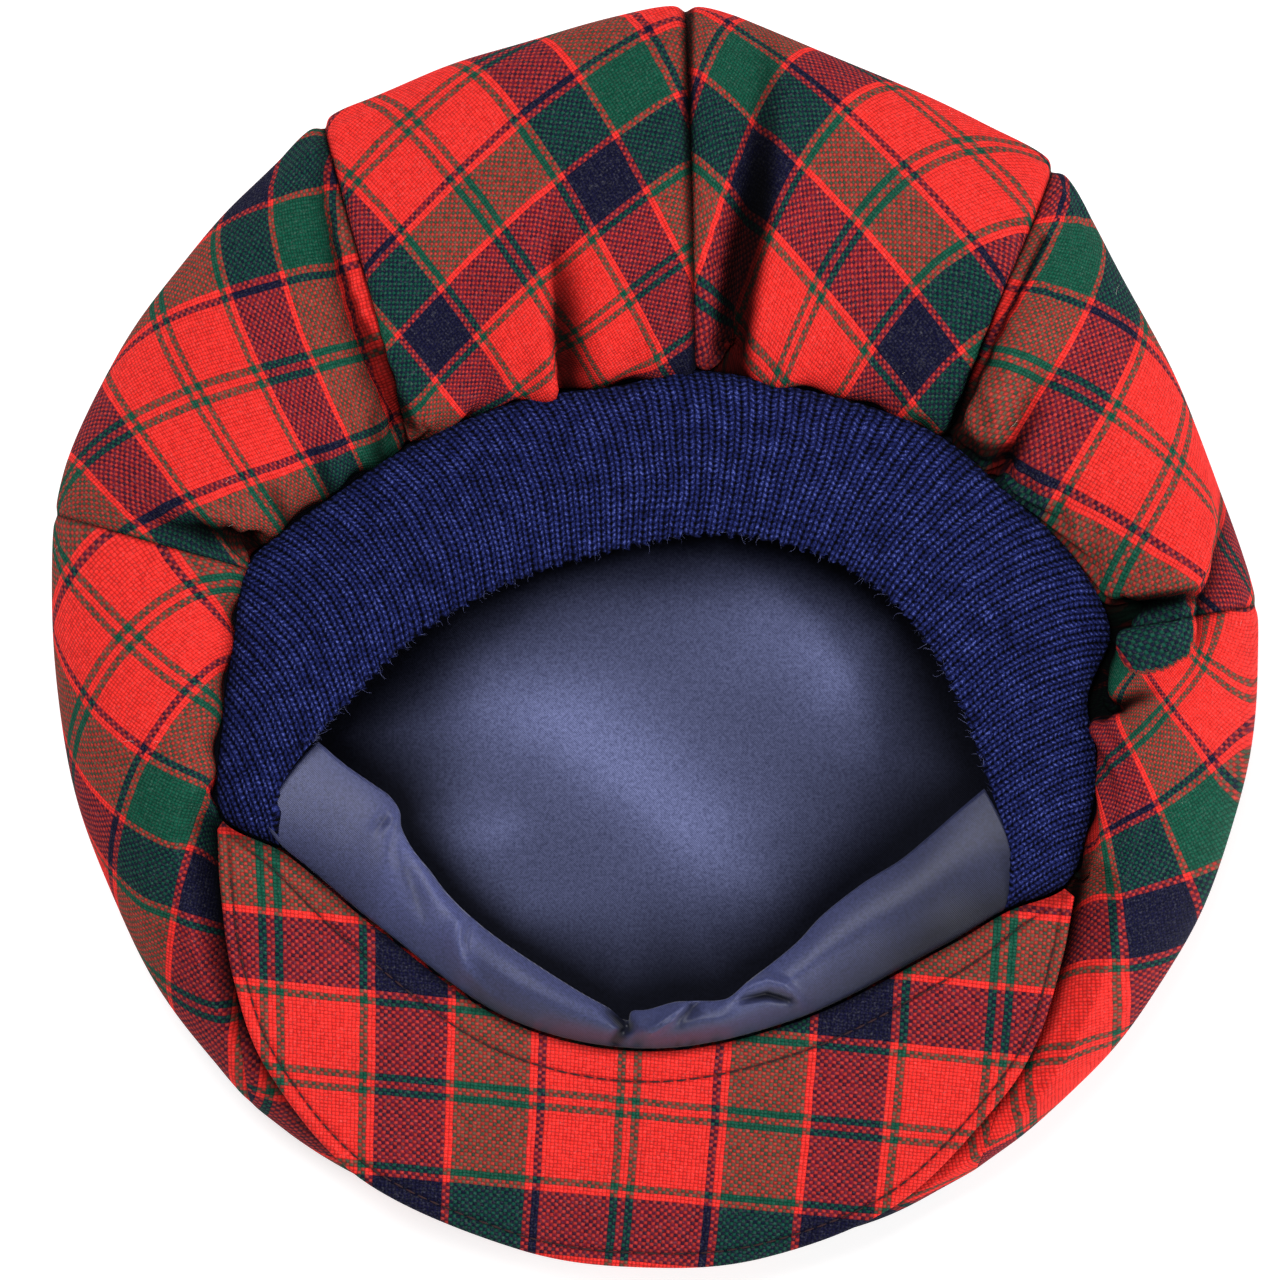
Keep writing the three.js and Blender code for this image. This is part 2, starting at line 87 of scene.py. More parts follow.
def holdBelow(height, limit, softness=2.0):
    # bends heights softly, so that none passes the limit
    start = limit - softness
    eased = limit - softness * np.exp(-np.maximum(height - start, 0) / softness)
    return np.where(height <= start, height, eased)


def foldRise(x, y, folds):
    # how far soft folds stand up: each is a line with its rise at every point, then its width on the
    # left and on the right of that line
    rise = np.zeros(x.shape)
    for line, widthLeft, widthRight in folds:
        nearest = np.full(x.shape, 1e9)
        height = np.zeros(x.shape)
        side = np.zeros(x.shape)
        for (ax, ay, riseA), (bx, by, riseB) in zip(line[:-1], line[1:]):
            spanX, spanY = bx - ax, by - ay
            share = np.clip(((x - ax) * spanX + (y - ay) * spanY) / (spanX ** 2 + spanY ** 2), 0, 1)
            away = np.hypot(x - ax - share * spanX, y - ay - share * spanY)
            closer = away < nearest
            nearest = np.where(closer, away, nearest)
            height = np.where(closer, riseA + (riseB - riseA) * share, height)
            side = np.where(closer, spanX * (y - ay) - spanY * (x - ax), side)
        width = np.where(side > 0, widthLeft, widthRight)
        rise += height * np.exp(-(nearest / width) ** 2)
    return rise


def slowWave(x, y, z, pitch):
    # a calm, irregular wave made of a few slanted ones
    slants = ((1.0, 0.35, 0.6, 0.3), (-0.55, 0.9, 0.4, 1.9), (0.75, -1.25, 0.9, 4.1), (1.6, 1.1, -0.7, 2.6))
    total = 0
    for a, b, c, start in slants:
        total = total + np.sin((a * x + b * y + c * z) * 2 * math.pi / pitch + start)
    return total / len(slants)


def runAlong(points, axis):
    # how much cloth lies before each point, along the rows or the columns of a grid
    steps = np.linalg.norm(np.diff(points, axis=axis), axis=-1)
    start = np.zeros_like(np.take(steps, [0], axis=axis))
    return np.concatenate([start, np.cumsum(steps, axis=axis)], axis=axis)


def evenSteps(line, count):
    # points at equal distances along a smooth curve through a table
    fine = alongTable(line, np.linspace(0, len(line) - 1, 60 * len(line)))
    run = runAlong(fine[:, :2], 0)
    places = np.linspace(0, run[-1], count)
    return np.stack([np.interp(places, run, fine[:, axis]) for axis in range(fine.shape[1])], -1)


def bentPlane(x, y, row):
    # a polynomial over the plan, up to the third power
    terms = [x, y, 1, x * x, x * y, y * y, x * x * y, x * y * y, y ** 3, x ** 3]
    return sum(share * term for share, term in zip(row, terms)) + 0 * x


def bentPlaneRise(x, y, row):
    # how fast that polynomial rises along y
    slopes = [0, 1, 0, 0, x, 2 * y, x * x, 2 * x * y, 3 * y * y, 0]
    return sum(share * slope for share, slope in zip(row, slopes)) + 0 * x


# The neck, where crown, band, peak and facing are sewn together

# x, y and height of its line, from the right side round the back, the left side and the front
neckLine = np.array([
    (105.5, 2, 47), (96.5, 19.5, 47), (82, 33.5, 47), (67.5, 46, 47), (52, 53, 47), (33, 58, 47),
    (10, 62, 47), (-9, 58.5, 47), (-32, 55, 47), (-57, 44.5, 47), (-74, 33.5, 47), (-86, 25, 47),
    (-95, 16, 47), (-98, -2, 47), (-100.5, -20, 47), (-100.5, -41, 45), (-84.5, -50.5, 43),
    (-64, -67.5, 40), (-34, -89, 38), (-1, -96, 36), (33, -89, 38), (66, -72.3, 40), (81, -63.5, 42),
    (95.5, -57, 44.5), (101, -42, 47), (102.5, -28, 47), (100.5, -14, 47),
])


def neckPoint(place, outwards=0.0):
    # a place on the neck line, counted in rows of its table, or a little outside it
    here = alongTable(neckLine, place, True)
    along = alongTable(neckLine, place + 0.05, True) - alongTable(neckLine, place - 0.05, True)
    length = np.hypot(along[..., 0], along[..., 1])
    moved = here.copy()
    moved[..., 0] += outwards * along[..., 1] / length
    moved[..., 1] -= outwards * along[..., 0] / length
    return moved


# The peak's form, which the crown has to stay clear of

peak = {
    "cornerHeight": 50.0,
    "arch": 4.0,            # how much higher it is 100 mm to the side of the middle
    "fall": 24.0,           # how far its edge hangs down in front, from where, over what length
    "fallStart": -45.0,
    "fallLength": 102.0,
    "fallPower": 1.7,
    "thickness": 4.0,
    "edgeRadius": 1.5,
    "crownBelow": 5.12,     # how far the crown keeps below its seen side
    "crownMargin": 2.0,     # and for how much beyond its edge
    "crownRise": (0.4, 0.07),   # how fast the crown may rise from there: slope and bend
    "footShade": 0.6,       # darkness along the facing, and along its stitches
    "stitchShade": 0.55,
    "columns": 230,
    "rows": 96,
    "from": 15.1,           # where it starts and ends along the neck line
    "to": 22.9,
    # warp and weft place as a slightly bent plane round a point on the middle of the peak
    "lie": ((49.7, -2.5, 5.8, -0.3, -1.1, 1.3), (5.5, 55.9, 94.2, 0.0, 0.5, 0.1)),
    "stitch": (1.4, 0.24, 0.2),     # half its length, width and height
    "stitchPitch": 3.1,
    "edgeStitch": 3.6,      # how far the outer row of stitches lies inside the edge
    "innerStitch": 7.0,     # how far the inner row bows away from the facing
    "stitchGroove": 0.35,   # how deep the stitches draw the cloth in, and how high they stand in that
    "stitchLift": 0.12,
    # plan of the outer edge in equal steps along the neck line
    "edge": np.array([
        (-101, -44.5), (-100.3, -59), (-97.5, -79), (-89.5, -101), (-68, -126.5), (-32, -143),
        (-3, -147.4), (25, -145.2), (56, -132.5), (79, -109), (88.5, -93.5), (94, -75), (96.8, -60),
    ]),
}


def peakHeight(x, y):
    fallen = np.maximum(peak["fallStart"] - y, 0) / peak["fallLength"]
    return peak["cornerHeight"] + peak["arch"] * (x / 100) ** 2 - peak["fall"] * fallen ** peak["fallPower"]


peakPlan = alongTable(peak["edge"], np.arange(0, 12.01, 0.5))
peakLoop = np.vstack([peakPlan, peakPlan[:1]])


def heightUnderPeak(x, y):
    # how high the crown may stand under the peak and beside it
    away = np.where(insideLoop(x, y, peakPlan), 0, distanceFromLine(x, y, peakLoop))
    away = np.maximum(away - peak["crownMargin"], 0)
    slope, bend = peak["crownRise"]
    return peakHeight(x, y) - peak["crownBelow"] + bend * away ** 2 + slope * away


# The lining's form

lining = {
    "wall": 1.0,
    "inset": 6.0,           # how far it lies inside the crown's rim
    "floor": 2.7,           # its height over the table
    "drop": 10.5,           # how far it lies below the crown's puff
    "neckDrop": 3.2,        # and below the neck
    "underPeak": 4.5,       # how much further below the peak it stays than the crown
    "hollowShare": 0.6,     # share of the crown's hollows that it follows
    "columns": 240,
    "rows": {"rest": 60, "side": 24, "under": 16, "curl": 6},
    "wave": 0.7,            # slow waves where it lies loose
    "loose": (2.0, 0.6),    # the course where it stops lying loose, and over how much that fades
    "billowRise": 0.6,      # share of the billows' rise that its shape gets, the rest is light alone
    "flat": 0.52,           # light on cloth that lies flat, against cloth that stands up
    # how far the shade reaches in from the opening's edge, by direction from the middle
    "gloomAngle": (-150, -125, -90, -50, -20, 5, 25, 60, 90, 130, 160, 185),
    "gloomReach": (16, 13, 36, 38, 52, 46, 14, 8, 7, 11, 26, 28),
    # slack cloth that stands up inside, as folds
    "billows": [
        ([(-50, 2, 4), (-40, -14, 7), (-22, -21, 9), (-4, -35, 10), (8, -46, 10), (20, -58, 8),
          (26, -70, 4)], 15.0, 11.0),
        ([(16, 17, 4), (27, 11, 7), (37, 2, 8), (45, -12, 8), (50, -22, 5)], 6.0, 10.0),
        ([(-20, 10, 4), (4, 8, 5), (22, 2, 5)], 10.0, 14.0),
        ([(-45, -48, 3), (-36, -46, 4)], 5.0, 5.0),
        ([(32, -42, 4), (42, -46, 6), (34, -58, 5)], 10.0, 10.0),
    ],
}


# The crown's form

crown = {
    "wall": 2.0,
    "restShare": 0.62,      # how far out it rests on the table, as a share of the rim's reach
    "columns": 116,         # points across a panel, and along each part of its section
    "rows": {"rest": 8, "side": 20, "under": 70, "curl": 34},
    "seamDepth": 1.4,       # how deep a seam lies between its two panels
    "seamWidth": 1.5,
    "seamBulge": 0.9,       # cloth that stands up beside a seam
    "bulgeWidth": 6.0,
    "pucker": 0.28,         # small waves drawn in by the seam thread
    "puckerPitch": 7.5,
    "wave": 0.6,            # slow waves all over the cloth
    "waveLength": 62.0,
    "neckGather": 0.7,      # small gathers at the neck
    "neckGatherPitch": 13.0,
    "neckGatherReach": 16.0,
    "neckHold": 0.32,       # share of the last course over which the neck seam ends all folds
    "foldShade": (0.95, 4.5),   # darkness of a deep fold, and the depth that gives most of it
    "neckShade": (0.7, 3.4),    # and along the neck, with its width
    "seamShade": 0.6,       # width of the dark line in a seam
    # darkness beside the peak with its width, in front and near the peak's corners
    "peakShade": ((0.55, 1.6), (0.95, 4.0)),
    "cornerStart": (-122, -105),    # y where it starts to grow towards the corners, left and right
    "cornerLength": 35,
    # how plainly each seam shows as a groove, and how dark the painted shade line in it is, from the
    # right-hand one round the back
    "seamShare": (0.3, 1, 0.9, 1, 0.3, 0.12, 0.3, 0.0),
    "seamShadow": (0.7, 0.9, 0.6, 0.9, 0.6, 0.1, 0.2, 0.0),
}

# Rim angle, rim reach, rim height, puff height, puff share and place on the neck line, in turn for each
# seam and for the middle of the panel after it, from the right side round the back
crownSections = np.array([
    (3, 140.6, 27, 54, 0.34, 0),
    (26, 135.4, 28, 57, 0.34, 1.5),
    (49.5, 144.0, 27, 54.5, 0.3, 3),
    (68, 141.4, 27, 57, 0.26, 4.5),
    (87.2, 147.4, 26, 55.5, 0.24, 6),
    (105, 142.2, 27, 57, 0.26, 7.5),
    (123, 142.9, 27, 54.5, 0.3, 9),
    (148, 141.2, 28, 57, 0.3, 10.5),
    (168.5, 142.8, 27, 55, 0.3, 12),
    (200, 140.3, 26, 57, 0.3, 13.5),
    (229, 144.4, 20, 53, 0.26, 15),
    (248.5, 144.0, 14, 48, 0.2, 17),
    (268, 144.6, 12, 46, 0.2, 19),
    (284.5, 146.0, 13, 48, 0.2, 21),
    (301, 145.6, 18, 53, 0.26, 23),
    (332, 142.8, 25, 57, 0.32, 25),
])

# Folds on the open side of the crown, each from the rim inwards
crownFolds = [
    # pleat in the back left panel: a puffed roll, then a drop to its right
    ([(-27.5, 112, 0), (-27.0, 96, 1.5), (-26.6, 84, 3.0), (-25.2, 71, 3.8), (-23.2, 57, 3.8)], 0.9, 12.0),
    ([(-23.5, 104, 0), (-23.0, 92, -2.0), (-22.6, 80, -4.0), (-21.8, 68, -4.5), (-20.6, 57, -4.5)], 7.0, 1.8),
    # roll that carries the back seam
    ([(8.5, 126, 0), (7.6, 104, 1.0), (8.0, 84, 2.5), (9.2, 62, 3.0)], 5.0, 9.0),
    # deep pleat beside the back seam, with the cloth rising steeply to its right
    ([(24, 134, 0), (23.4, 118, -2.5), (22.4, 106, -4.5), (20.8, 96, -6), (19.2, 87, -7),
      (18.0, 76, -7.5), (17.4, 58, -7.5)], 2.8, 4.6),
    ([(30, 112, 0), (28.4, 98, 2.0), (26.2, 87, 3.0), (24.0, 76, 3.2), (23.0, 58, 2.5)], 12.0, 1.7),
    # overlap along the left back seam
    ([(-74, 119, 0), (-72.5, 103, 1.2), (-70, 92, 2.2), (-66.2, 80, 2.6), (-61.8, 67, 2.6),
      (-54, 52, 2)], 9.0, 1.7),
    ([(-78, 112, 0), (-77.5, 100, -1.5), (-74.6, 88, -2.8), (-70, 74, -3.6), (-64, 60, -4.5),
      (-58, 49, -5)], 1.3, 5.5),
    # groove and roll along the right back seam
    ([(91, 96, 0), (84.6, 82, -2.0), (76.6, 66, -3), (68.5, 49, -4)], 2.6, 1.8),
    ([(90, 78, 0), (83, 66, 2.5), (79, 55, 3.5), (79, 44, 2)], 5.0, 3.5),
    ([(97, 68, 0), (88, 58, -2.0), (83, 48, -4.5), (80, 39, -6)], 3.2, 2.0),
    # tuck on the left side between an upper and a lower lip
    ([(-122, 27, 0), (-114, 26, -2.5), (-105, 23.8, -4.5), (-97, 22.3, -5.2),
      (-90, 20, -5.5)], 2.6, 2.4),
    ([(-120, 31, 0), (-111, 30.2, 1.6), (-103, 28.6, 2.2), (-96, 25.5, 2.0)], 7.0, 2.1),
    ([(-118, 22.5, 0), (-110, 21.2, 1.6), (-103, 19.4, 2.6), (-96, 17.4, 3.0),
      (-90, 14.5, 2.0)], 1.3, 6.0),
    # puff on the right side that hangs over the cloth behind it
    ([(126, 48, 0), (127.6, 36, 1.5), (128, 26, 2.5), (125.8, 16, 3.8), (122.4, 10, 4.2),
      (120.5, 4, 2)], 1.5, 12.0),
    ([(131, 48, 0), (132.4, 36, -2), (132.8, 26, -3), (130.6, 15, -4.5), (127.6, 7, -5), (126, 0, -3),
      (125, -8, 0)], 5.0, 1.5),
    # valley under the puff, the dark gap beside the band, a roll and a second valley
    ([(125.5, 9.6, -3), (118, 7.8, -7.5), (110, 6.2, -9.5), (104, 4.5, -9)], 2.4, 1.6),
    ([(106.5, 5, -7), (104.2, -1, -8), (102, -9, -7), (100.5, -15, -5)], 2.4, 3.0),
    ([(123.5, 1.0, 1.0), (116.5, 0.2, 3.6), (110, -2, 3.8), (106.5, -5, 2)], 5.0, 4.0),
    ([(113, -12.5, -1), (108.5, -14.8, -4.5), (104, -16.8, -6.5), (99, -17.8, -6.5)], 2.0, 2.0),
    ([(131, -26, 0.5), (121, -23, 1.6), (111, -20.8, 2.2), (102, -20.5, 1.6)], 9.0, 2.2),
]

# Painted shade in the darkest hollows, where little light gets in: given like folds, with the depth of shade
# at each point; it darkens the colour and does not move the cloth
hollowShade = [
    ([(-24.2, 94, 1), (-23.4, 85, 5), (-22.4, 76, 7), (-21.8, 66, 8), (-21.2, 58, 9)], 5.0, 0.7),
    ([(-22.8, 76, 4), (-21.6, 66, 10), (-20.8, 56, 14)], 1.4, 0.8),
    ([(8.2, 146, 9), (8, 120, 8), (8.4, 90, 6), (9.2, 64, 5)], 0.9, 1.9),
    ([(27, 138, 2), (26, 118, 5), (24.4, 104, 9), (22.4, 94, 13), (19.6, 79, 15), (18, 60, 16)], 3.6, 4.6),
    ([(-77, 118, 2), (-76, 102, 4), (-72.5, 88, 5), (-67.5, 74, 6), (-60, 58, 7), (-55, 50, 7)], 0.8, 3.0),
    ([(90, 92, 6), (84, 79, 7), (77, 64, 8), (69.5, 50, 9), (67, 46, 9)], 1.3, 1.3),
    ([(80, 42, 8), (75.5, 43.5, 12), (71, 45.5, 12)], 2.8, 2.6),
    ([(88, 52, 3), (82, 43, 7), (78, 38.5, 9)], 2.8, 1.6),
    ([(-114, 26.4, 3), (-104, 24.6, 8), (-98, 22.8, 11), (-91, 20.2, 14)], 1.5, 2.3),
    ([(125.5, 9.8, 4), (119, 8.6, 11), (112, 7.0, 13), (105, 4.6, 14)], 2.0, 2.4),
    ([(106.5, 4, 14), (105, -2, 14), (102.6, -10, 12), (100.4, -18, 9)], 2.4, 4.0),
    ([(115, -13, 3), (109, -15.0, 9), (103, -17.2, 12), (98, -18, 12)], 1.9, 2.1),
    ([(100, -42, 5), (98.6, -53, 9), (97, -60, 9)], 1.8, 1.8),
    # shade between small gathers along the left of the band
    ([(-91, 39, 0), (-88, 33, 4), (-85, 26, 6)], 2.4, 1.8),
    ([(-79, 47, 0), (-77, 40, 4), (-75, 32, 6)], 2.2, 2.2),
    ([(-66, 56, 0), (-65, 50, 4), (-63.6, 42, 6)], 1.8, 2.4),
    ([(132, 38, 2), (132, 24, 4), (129.2, 14, 5), (126.2, 6, 6), (125, -1, 4)], 2.6, 0.9),
]


def weighted(weights, values):
    # values at the start, the middle and the end of a panel, in one
    return sum(weight * value for weight, value in zip(weights, values))


def crownPlace(turn, course, inside=False):
    # turn: 0 to 8 round the cap, whole at a seam; course: 0 in the middle of the top to 4 at the neck,
    # with the rest on the table, the side up to the rim, the open side up to the puff and the curl
    # down to the neck in between
    wrapped = np.mod(turn, 8)
    panel = np.minimum(np.floor(wrapped).astype(int), 7)
    share = wrapped - panel
    rows = [crownSections[(panel * 2 + step) % 16] for step in (0, 1, 2)]
    weights = [(2 * share - 1) * (share - 1), 4 * share * (1 - share), share * (2 * share - 1)]
    angles = [np.radians(row[..., 0]) for row in rows]
    rimX = weighted(weights, [row[..., 1] * np.cos(angle) for row, angle in zip(rows, angles)])
    rimY = weighted(weights, [row[..., 1] * np.sin(angle) for row, angle in zip(rows, angles)])
    rimHeight, puffHeight, puffShare = (weighted(weights, [row[..., column] for row in rows])
                                        for column in (2, 3, 4))
    neckStart = rows[0][..., 5]
    neckEnd = np.where(rows[2][..., 5] > neckStart, rows[2][..., 5], rows[2][..., 5] + len(neckLine))
    neck = neckPoint(neckStart + (neckEnd - neckStart) * share)
    floor = lining["floor"] if inside else 0.0
    baseX, baseY = rimX * crown["restShare"], rimY * crown["restShare"]
    neckHeight = neck[..., 2]
    if inside:
        reach = np.hypot(rimX, rimY)
        rimX = rimX * (reach - lining["inset"]) / reach
        rimY = rimY * (reach - lining["inset"]) / reach
        puffHeight = puffHeight - lining["drop"]
        neckHeight = neckHeight - lining["neckDrop"]
    puffX = neck[..., 0] + (rimX - neck[..., 0]) * puffShare
    puffY = neck[..., 1] + (rimY - neck[..., 1]) * puffShare
    quarter = (course - np.floor(course)) * math.pi / 2
    stage = np.floor(course).astype(int)
    quarter = np.where(stage >= 4, math.pi / 2, quarter)
    stage = np.minimum(stage, 3)
    sine, cosine = np.sin(quarter), np.cos(quarter)
    out = np.clip(course, 0.004, 1)
    x = np.choose(stage, [baseX * out, baseX + (rimX - baseX) * sine,
                          puffX + (rimX - puffX) * cosine, puffX + (neck[..., 0] - puffX) * sine])
    y = np.choose(stage, [baseY * out, baseY + (rimY - baseY) * sine,
                          puffY + (rimY - puffY) * cosine, puffY + (neck[..., 1] - puffY) * sine])
    z = np.choose(stage, [floor + 0 * out, floor + (rimHeight - floor) * (1 - cosine),
                          rimHeight + (puffHeight - rimHeight) * sine,
                          puffHeight - (puffHeight - neckHeight) * (1 - cosine)])
    limit = heightUnderPeak(x, y) - (lining["underPeak"] if inside else 0)
    z = np.where(stage >= 2, holdBelow(z, limit), z)
    return np.stack([x, y, z], -1)


def foldShare(course):
    # folds grow from the rim to the puff and end where the neck seam holds the cloth
    growing = np.sin(np.clip(course - 2, 0, 1) * math.pi / 2)
    ending = np.sin(np.clip((4 - course) / crown["neckHold"], 0, 1) * math.pi / 2)
    return np.where(course < 3, growing, ending)


def outwardNormals(place, turns, courses):
    # square to a surface that is given by its turn and course
    step = 0.02
    around = place(turns + step, courses) - place(turns - step, courses)
    later = np.clip(courses + step, 0, 3.9999)
    sooner = np.clip(courses - step, 0, 3.9999)
    normal = np.cross(around, place(turns, later) - place(turns, sooner))
    normal /= np.maximum(np.linalg.norm(normal, axis=-1, keepdims=True), 1e-9)
    normal[courses <= 1.0] = (0, 0, -1)     # the part that rests on the table
    return normal


def foldedPlace(turns, courses):
    # the crown with its folds, held below the peak
    points = crownPlace(turns, courses)
    x, y = points[..., 0], points[..., 1]
    rise = foldRise(x, y, crownFolds) * foldShare(courses)
    points = points + outwardNormals(crownPlace, turns, courses) * rise[..., None]
    x, y, z = points[..., 0], points[..., 1], points[..., 2]
    points[..., 2] = np.where(courses > 2, holdBelow(z, heightUnderPeak(x, y)), z)
    return points


def surfaceNormals(points):
    # from the grid itself, so it follows every fold
    across = np.gradient(points, axis=1)
    along = np.gradient(points, axis=0)
    normal = np.cross(across, along)
    return normal / np.maximum(np.linalg.norm(normal, axis=-1, keepdims=True), 1e-9)


def courseRows(rows):
    # the courses at which a section has its points
    values = [0.0]
    for stage, name in enumerate(("rest", "side", "under", "curl")):
        values += [stage + (step + 1) / rows[name] for step in range(rows[name])]
    values = np.array(values)
    values[-1] = 3.9999
    return values


# Meshes

def clearSelection():
    if bpy.context.object and bpy.context.object.mode != "OBJECT":
        bpy.ops.object.mode_set(mode="OBJECT")
    bpy.ops.object.select_all(action="DESELECT")


def layCloth(name, points, chart=None, gloom=None):
    # a flat grid whose points are drawn one by one to their place on the cap
    rowCount, columnCount = points.shape[:2]
    clearSelection()
    bpy.ops.mesh.primitive_grid_add(x_subdivisions=columnCount - 1, y_subdivisions=rowCount - 1,
                                    size=2, calc_uvs=True, location=(0, 0, 0))
    piece = bpy.context.object
    piece.name = name
    piece.data.name = name
    mesh = piece.data
    mesh.vertices.foreach_set("co", (points.reshape(-1, 3) * 0.001).ravel())
    if chart is not None:
        corners = np.empty(len(mesh.loops), int)
        mesh.loops.foreach_get("vertex_index", corners)
        mesh.uv_layers[0].name = "weave"
        mesh.uv_layers[0].data.foreach_set("uv", chart.reshape(-1, 2)[corners].ravel())
    # painted shade at each point, read by the materials
    if gloom is not None:
        mesh.attributes.new("gloom", "FLOAT", "POINT").data.foreach_set("value", gloom.ravel())
    mesh.update()
    bpy.ops.object.shade_smooth()
    return piece


def mergeEdges(piece, distance=0.00001, closeEnds=False):
    # closes seams and turns all faces outwards
    clearSelection()
    piece.select_set(True)
    bpy.context.view_layer.objects.active = piece
    bpy.ops.object.mode_set(mode="EDIT")
    bpy.ops.mesh.select_all(action="SELECT")
    bpy.ops.mesh.remove_doubles(threshold=distance)
    if closeEnds:
        bpy.ops.mesh.fill_holes(sides=0)
    bpy.ops.mesh.normals_make_consistent(inside=False)
    bpy.ops.object.mode_set(mode="OBJECT")


def giveWall(piece, wall):
    # thickness inwards from the seen side
    clearSelection()
    piece.select_set(True)
    bpy.context.view_layer.objects.active = piece
    thick = piece.modifiers.new("wall", "SOLIDIFY")
    thick.thickness = wall * 0.001
    thick.offset = -1
    thick.use_even_offset = False
    bpy.ops.object.modifier_apply(modifier="wall")


def finishPiece(piece, material, node):
    # its material, its body, and the CAD node that it stands for
    piece.data.materials.clear()
    piece.data.materials.append(material)
    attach(piece, "root")
    if node:
        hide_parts(node)


def joinCopies(model, frames, name):
    # one modelled piece, copied to many places and joined
    copies = []
    for place in frames:
        copy = model.copy()
        copy.data = model.data.copy()
        copy.data.transform(mathutils.Matrix(place.tolist()))
        bpy.context.collection.objects.link(copy)
        copies.append(copy)
    bpy.data.objects.remove(model)
    clearSelection()
    for copy in copies:
        copy.select_set(True)
    bpy.context.view_layer.objects.active = copies[0]
    bpy.ops.object.join()
    joined = bpy.context.object
    joined.name = name
    joined.data.name = name
    return joined


def standing(place, forward, upward, size=1.0):
    # a frame at a place in millimetres, with x along a direction and z near another
    forward = forward / np.linalg.norm(forward)
    side = np.cross(upward, forward)
    side = side / np.linalg.norm(side)
    frameRows = np.eye(4)
    frameRows[:3, 0] = forward * size
    frameRows[:3, 1] = side * size
    frameRows[:3, 2] = np.cross(forward, side) * size
    frameRows[:3, 3] = np.array(place) * 0.001
    return frameRows


# Materials

def tint(text):
    # a colour as written in a paint program
    parts = [int(text[start:start + 2], 16) / 255 for start in (1, 3, 5)]
    linear = [part / 12.92 if part <= 0.04045 else ((part + 0.055) / 1.055) ** 2.4 for part in parts]
    return (*linear, 1.0)


class Wire:
    # a socket in a material, so that shader maths reads as an expression
    def __init__(self, paint, socket):
        self.paint = paint
        self.socket = socket

    def __add__(self, other):
        return self.paint.maths("ADD", self, other)

    def __sub__(self, other):
        return self.paint.maths("SUBTRACT", self, other)

    def __mul__(self, other):
        return self.paint.maths("MULTIPLY", self, other)

    def __truediv__(self, other):
        return self.paint.maths("DIVIDE", self, other)

    def __mod__(self, other):
        return self.paint.maths("FLOORED_MODULO", self, other)

    def __pow__(self, other):
        return self.paint.maths("POWER", self, other)

    def __rsub__(self, other):
        return self.paint.maths("SUBTRACT", other, self)

    __radd__ = __add__
    __rmul__ = __mul__


class Paint:
    # a material, with the values that are the same all over it
    def __init__(self, name, constants):
        self.material = bpy.data.materials.new(name)
        self.material.use_nodes = True
        self.tree = self.material.node_tree
        self.shader = self.tree.nodes["Principled BSDF"]
        for socket, value in constants.items():
            self.shader.inputs[socket].default_value = value

    def node(self, kind, settings=None, sockets=None, output=0):
        made = self.tree.nodes.new(kind)
        for key, value in (settings or {}).items():
            if key == "stops":
                ramp = made.color_ramp
                ramp.interpolation = "CONSTANT" if value[0] == "steps" else "LINEAR"
                while len(ramp.elements) < len(value[1]):
                    ramp.elements.new(1.0)
                for element, (place, colour) in zip(ramp.elements, value[1]):
                    element.position = place
                    element.color = colour
            else:
                setattr(made, key, value)
        for key, value in (sockets or {}).items():
            if isinstance(value, Wire):
                self.tree.links.new(value.socket, made.inputs[key])
            else:
                made.inputs[key].default_value = value
        return Wire(self, made.outputs[output])

    def maths(self, operation, first, second=0.0):
        return self.node("ShaderNodeMath", {"operation": operation}, {0: first, 1: second})

    def mixValue(self, share, first, second):
        # sockets 2 and 3 of a Mix node are its two numbers
        return self.node("ShaderNodeMix", {"data_type": "FLOAT"}, {0: share, 2: first, 3: second})

    def mixColour(self, share, first, second):
        # and sockets 6 and 7 are its two colours
        return self.node("ShaderNodeMix", {"data_type": "RGBA"}, {0: share, 6: first, 7: second}, 2)

    def vectorMaths(self, operation, first, second, third=(0, 0, 0)):
        return self.node("ShaderNodeVectorMath", {"operation": operation}, {0: first, 1: second, 2: third})

    def ramp(self, kind, stops, value):
        return self.node("ShaderNodeValToRGB", {"stops": (kind, stops)}, {0: value})

    def parts(self, vector):
        # x, y and z of a vector
        split = self.node("ShaderNodeSeparateXYZ", None, {0: vector})
        return [Wire(self, output) for output in split.socket.node.outputs]

    def clothPlace(self):
        # across and along the cloth, on its own map
        return self.parts(self.node("ShaderNodeUVMap", {"uv_map": "weave"}))[:2]

    def objectPlace(self):
        return self.node("ShaderNodeTexCoord", None, None, "Object")

    def spot(self, scale, detail=2.0):
        # soft spots, about 0.5 on average
        return self.node("ShaderNodeTexNoise", {"noise_dimensions": "3D"},
                         {"Vector": self.objectPlace(), "Scale": scale, "Detail": detail})

    def gloom(self):
        # painted shade stored at each point: darkness for folds, seams, edges and hollows, below zero where
        # light is painted
        return self.node("ShaderNodeAttribute", {"attribute_name": "gloom"}, None, "Fac")

    def dimmed(self, colour, light):
        return self.node("ShaderNodeVectorMath", {"operation": "SCALE"}, {0: colour, "Scale": light})

    def bump(self, strength, distance, height):
        sockets = {"Strength": strength, "Distance": distance, "Height": height}
        self.feed("Normal", self.node("ShaderNodeBump", None, sockets))

    def feed(self, socket, value):
        self.tree.links.new(value.socket, self.shader.inputs[socket])


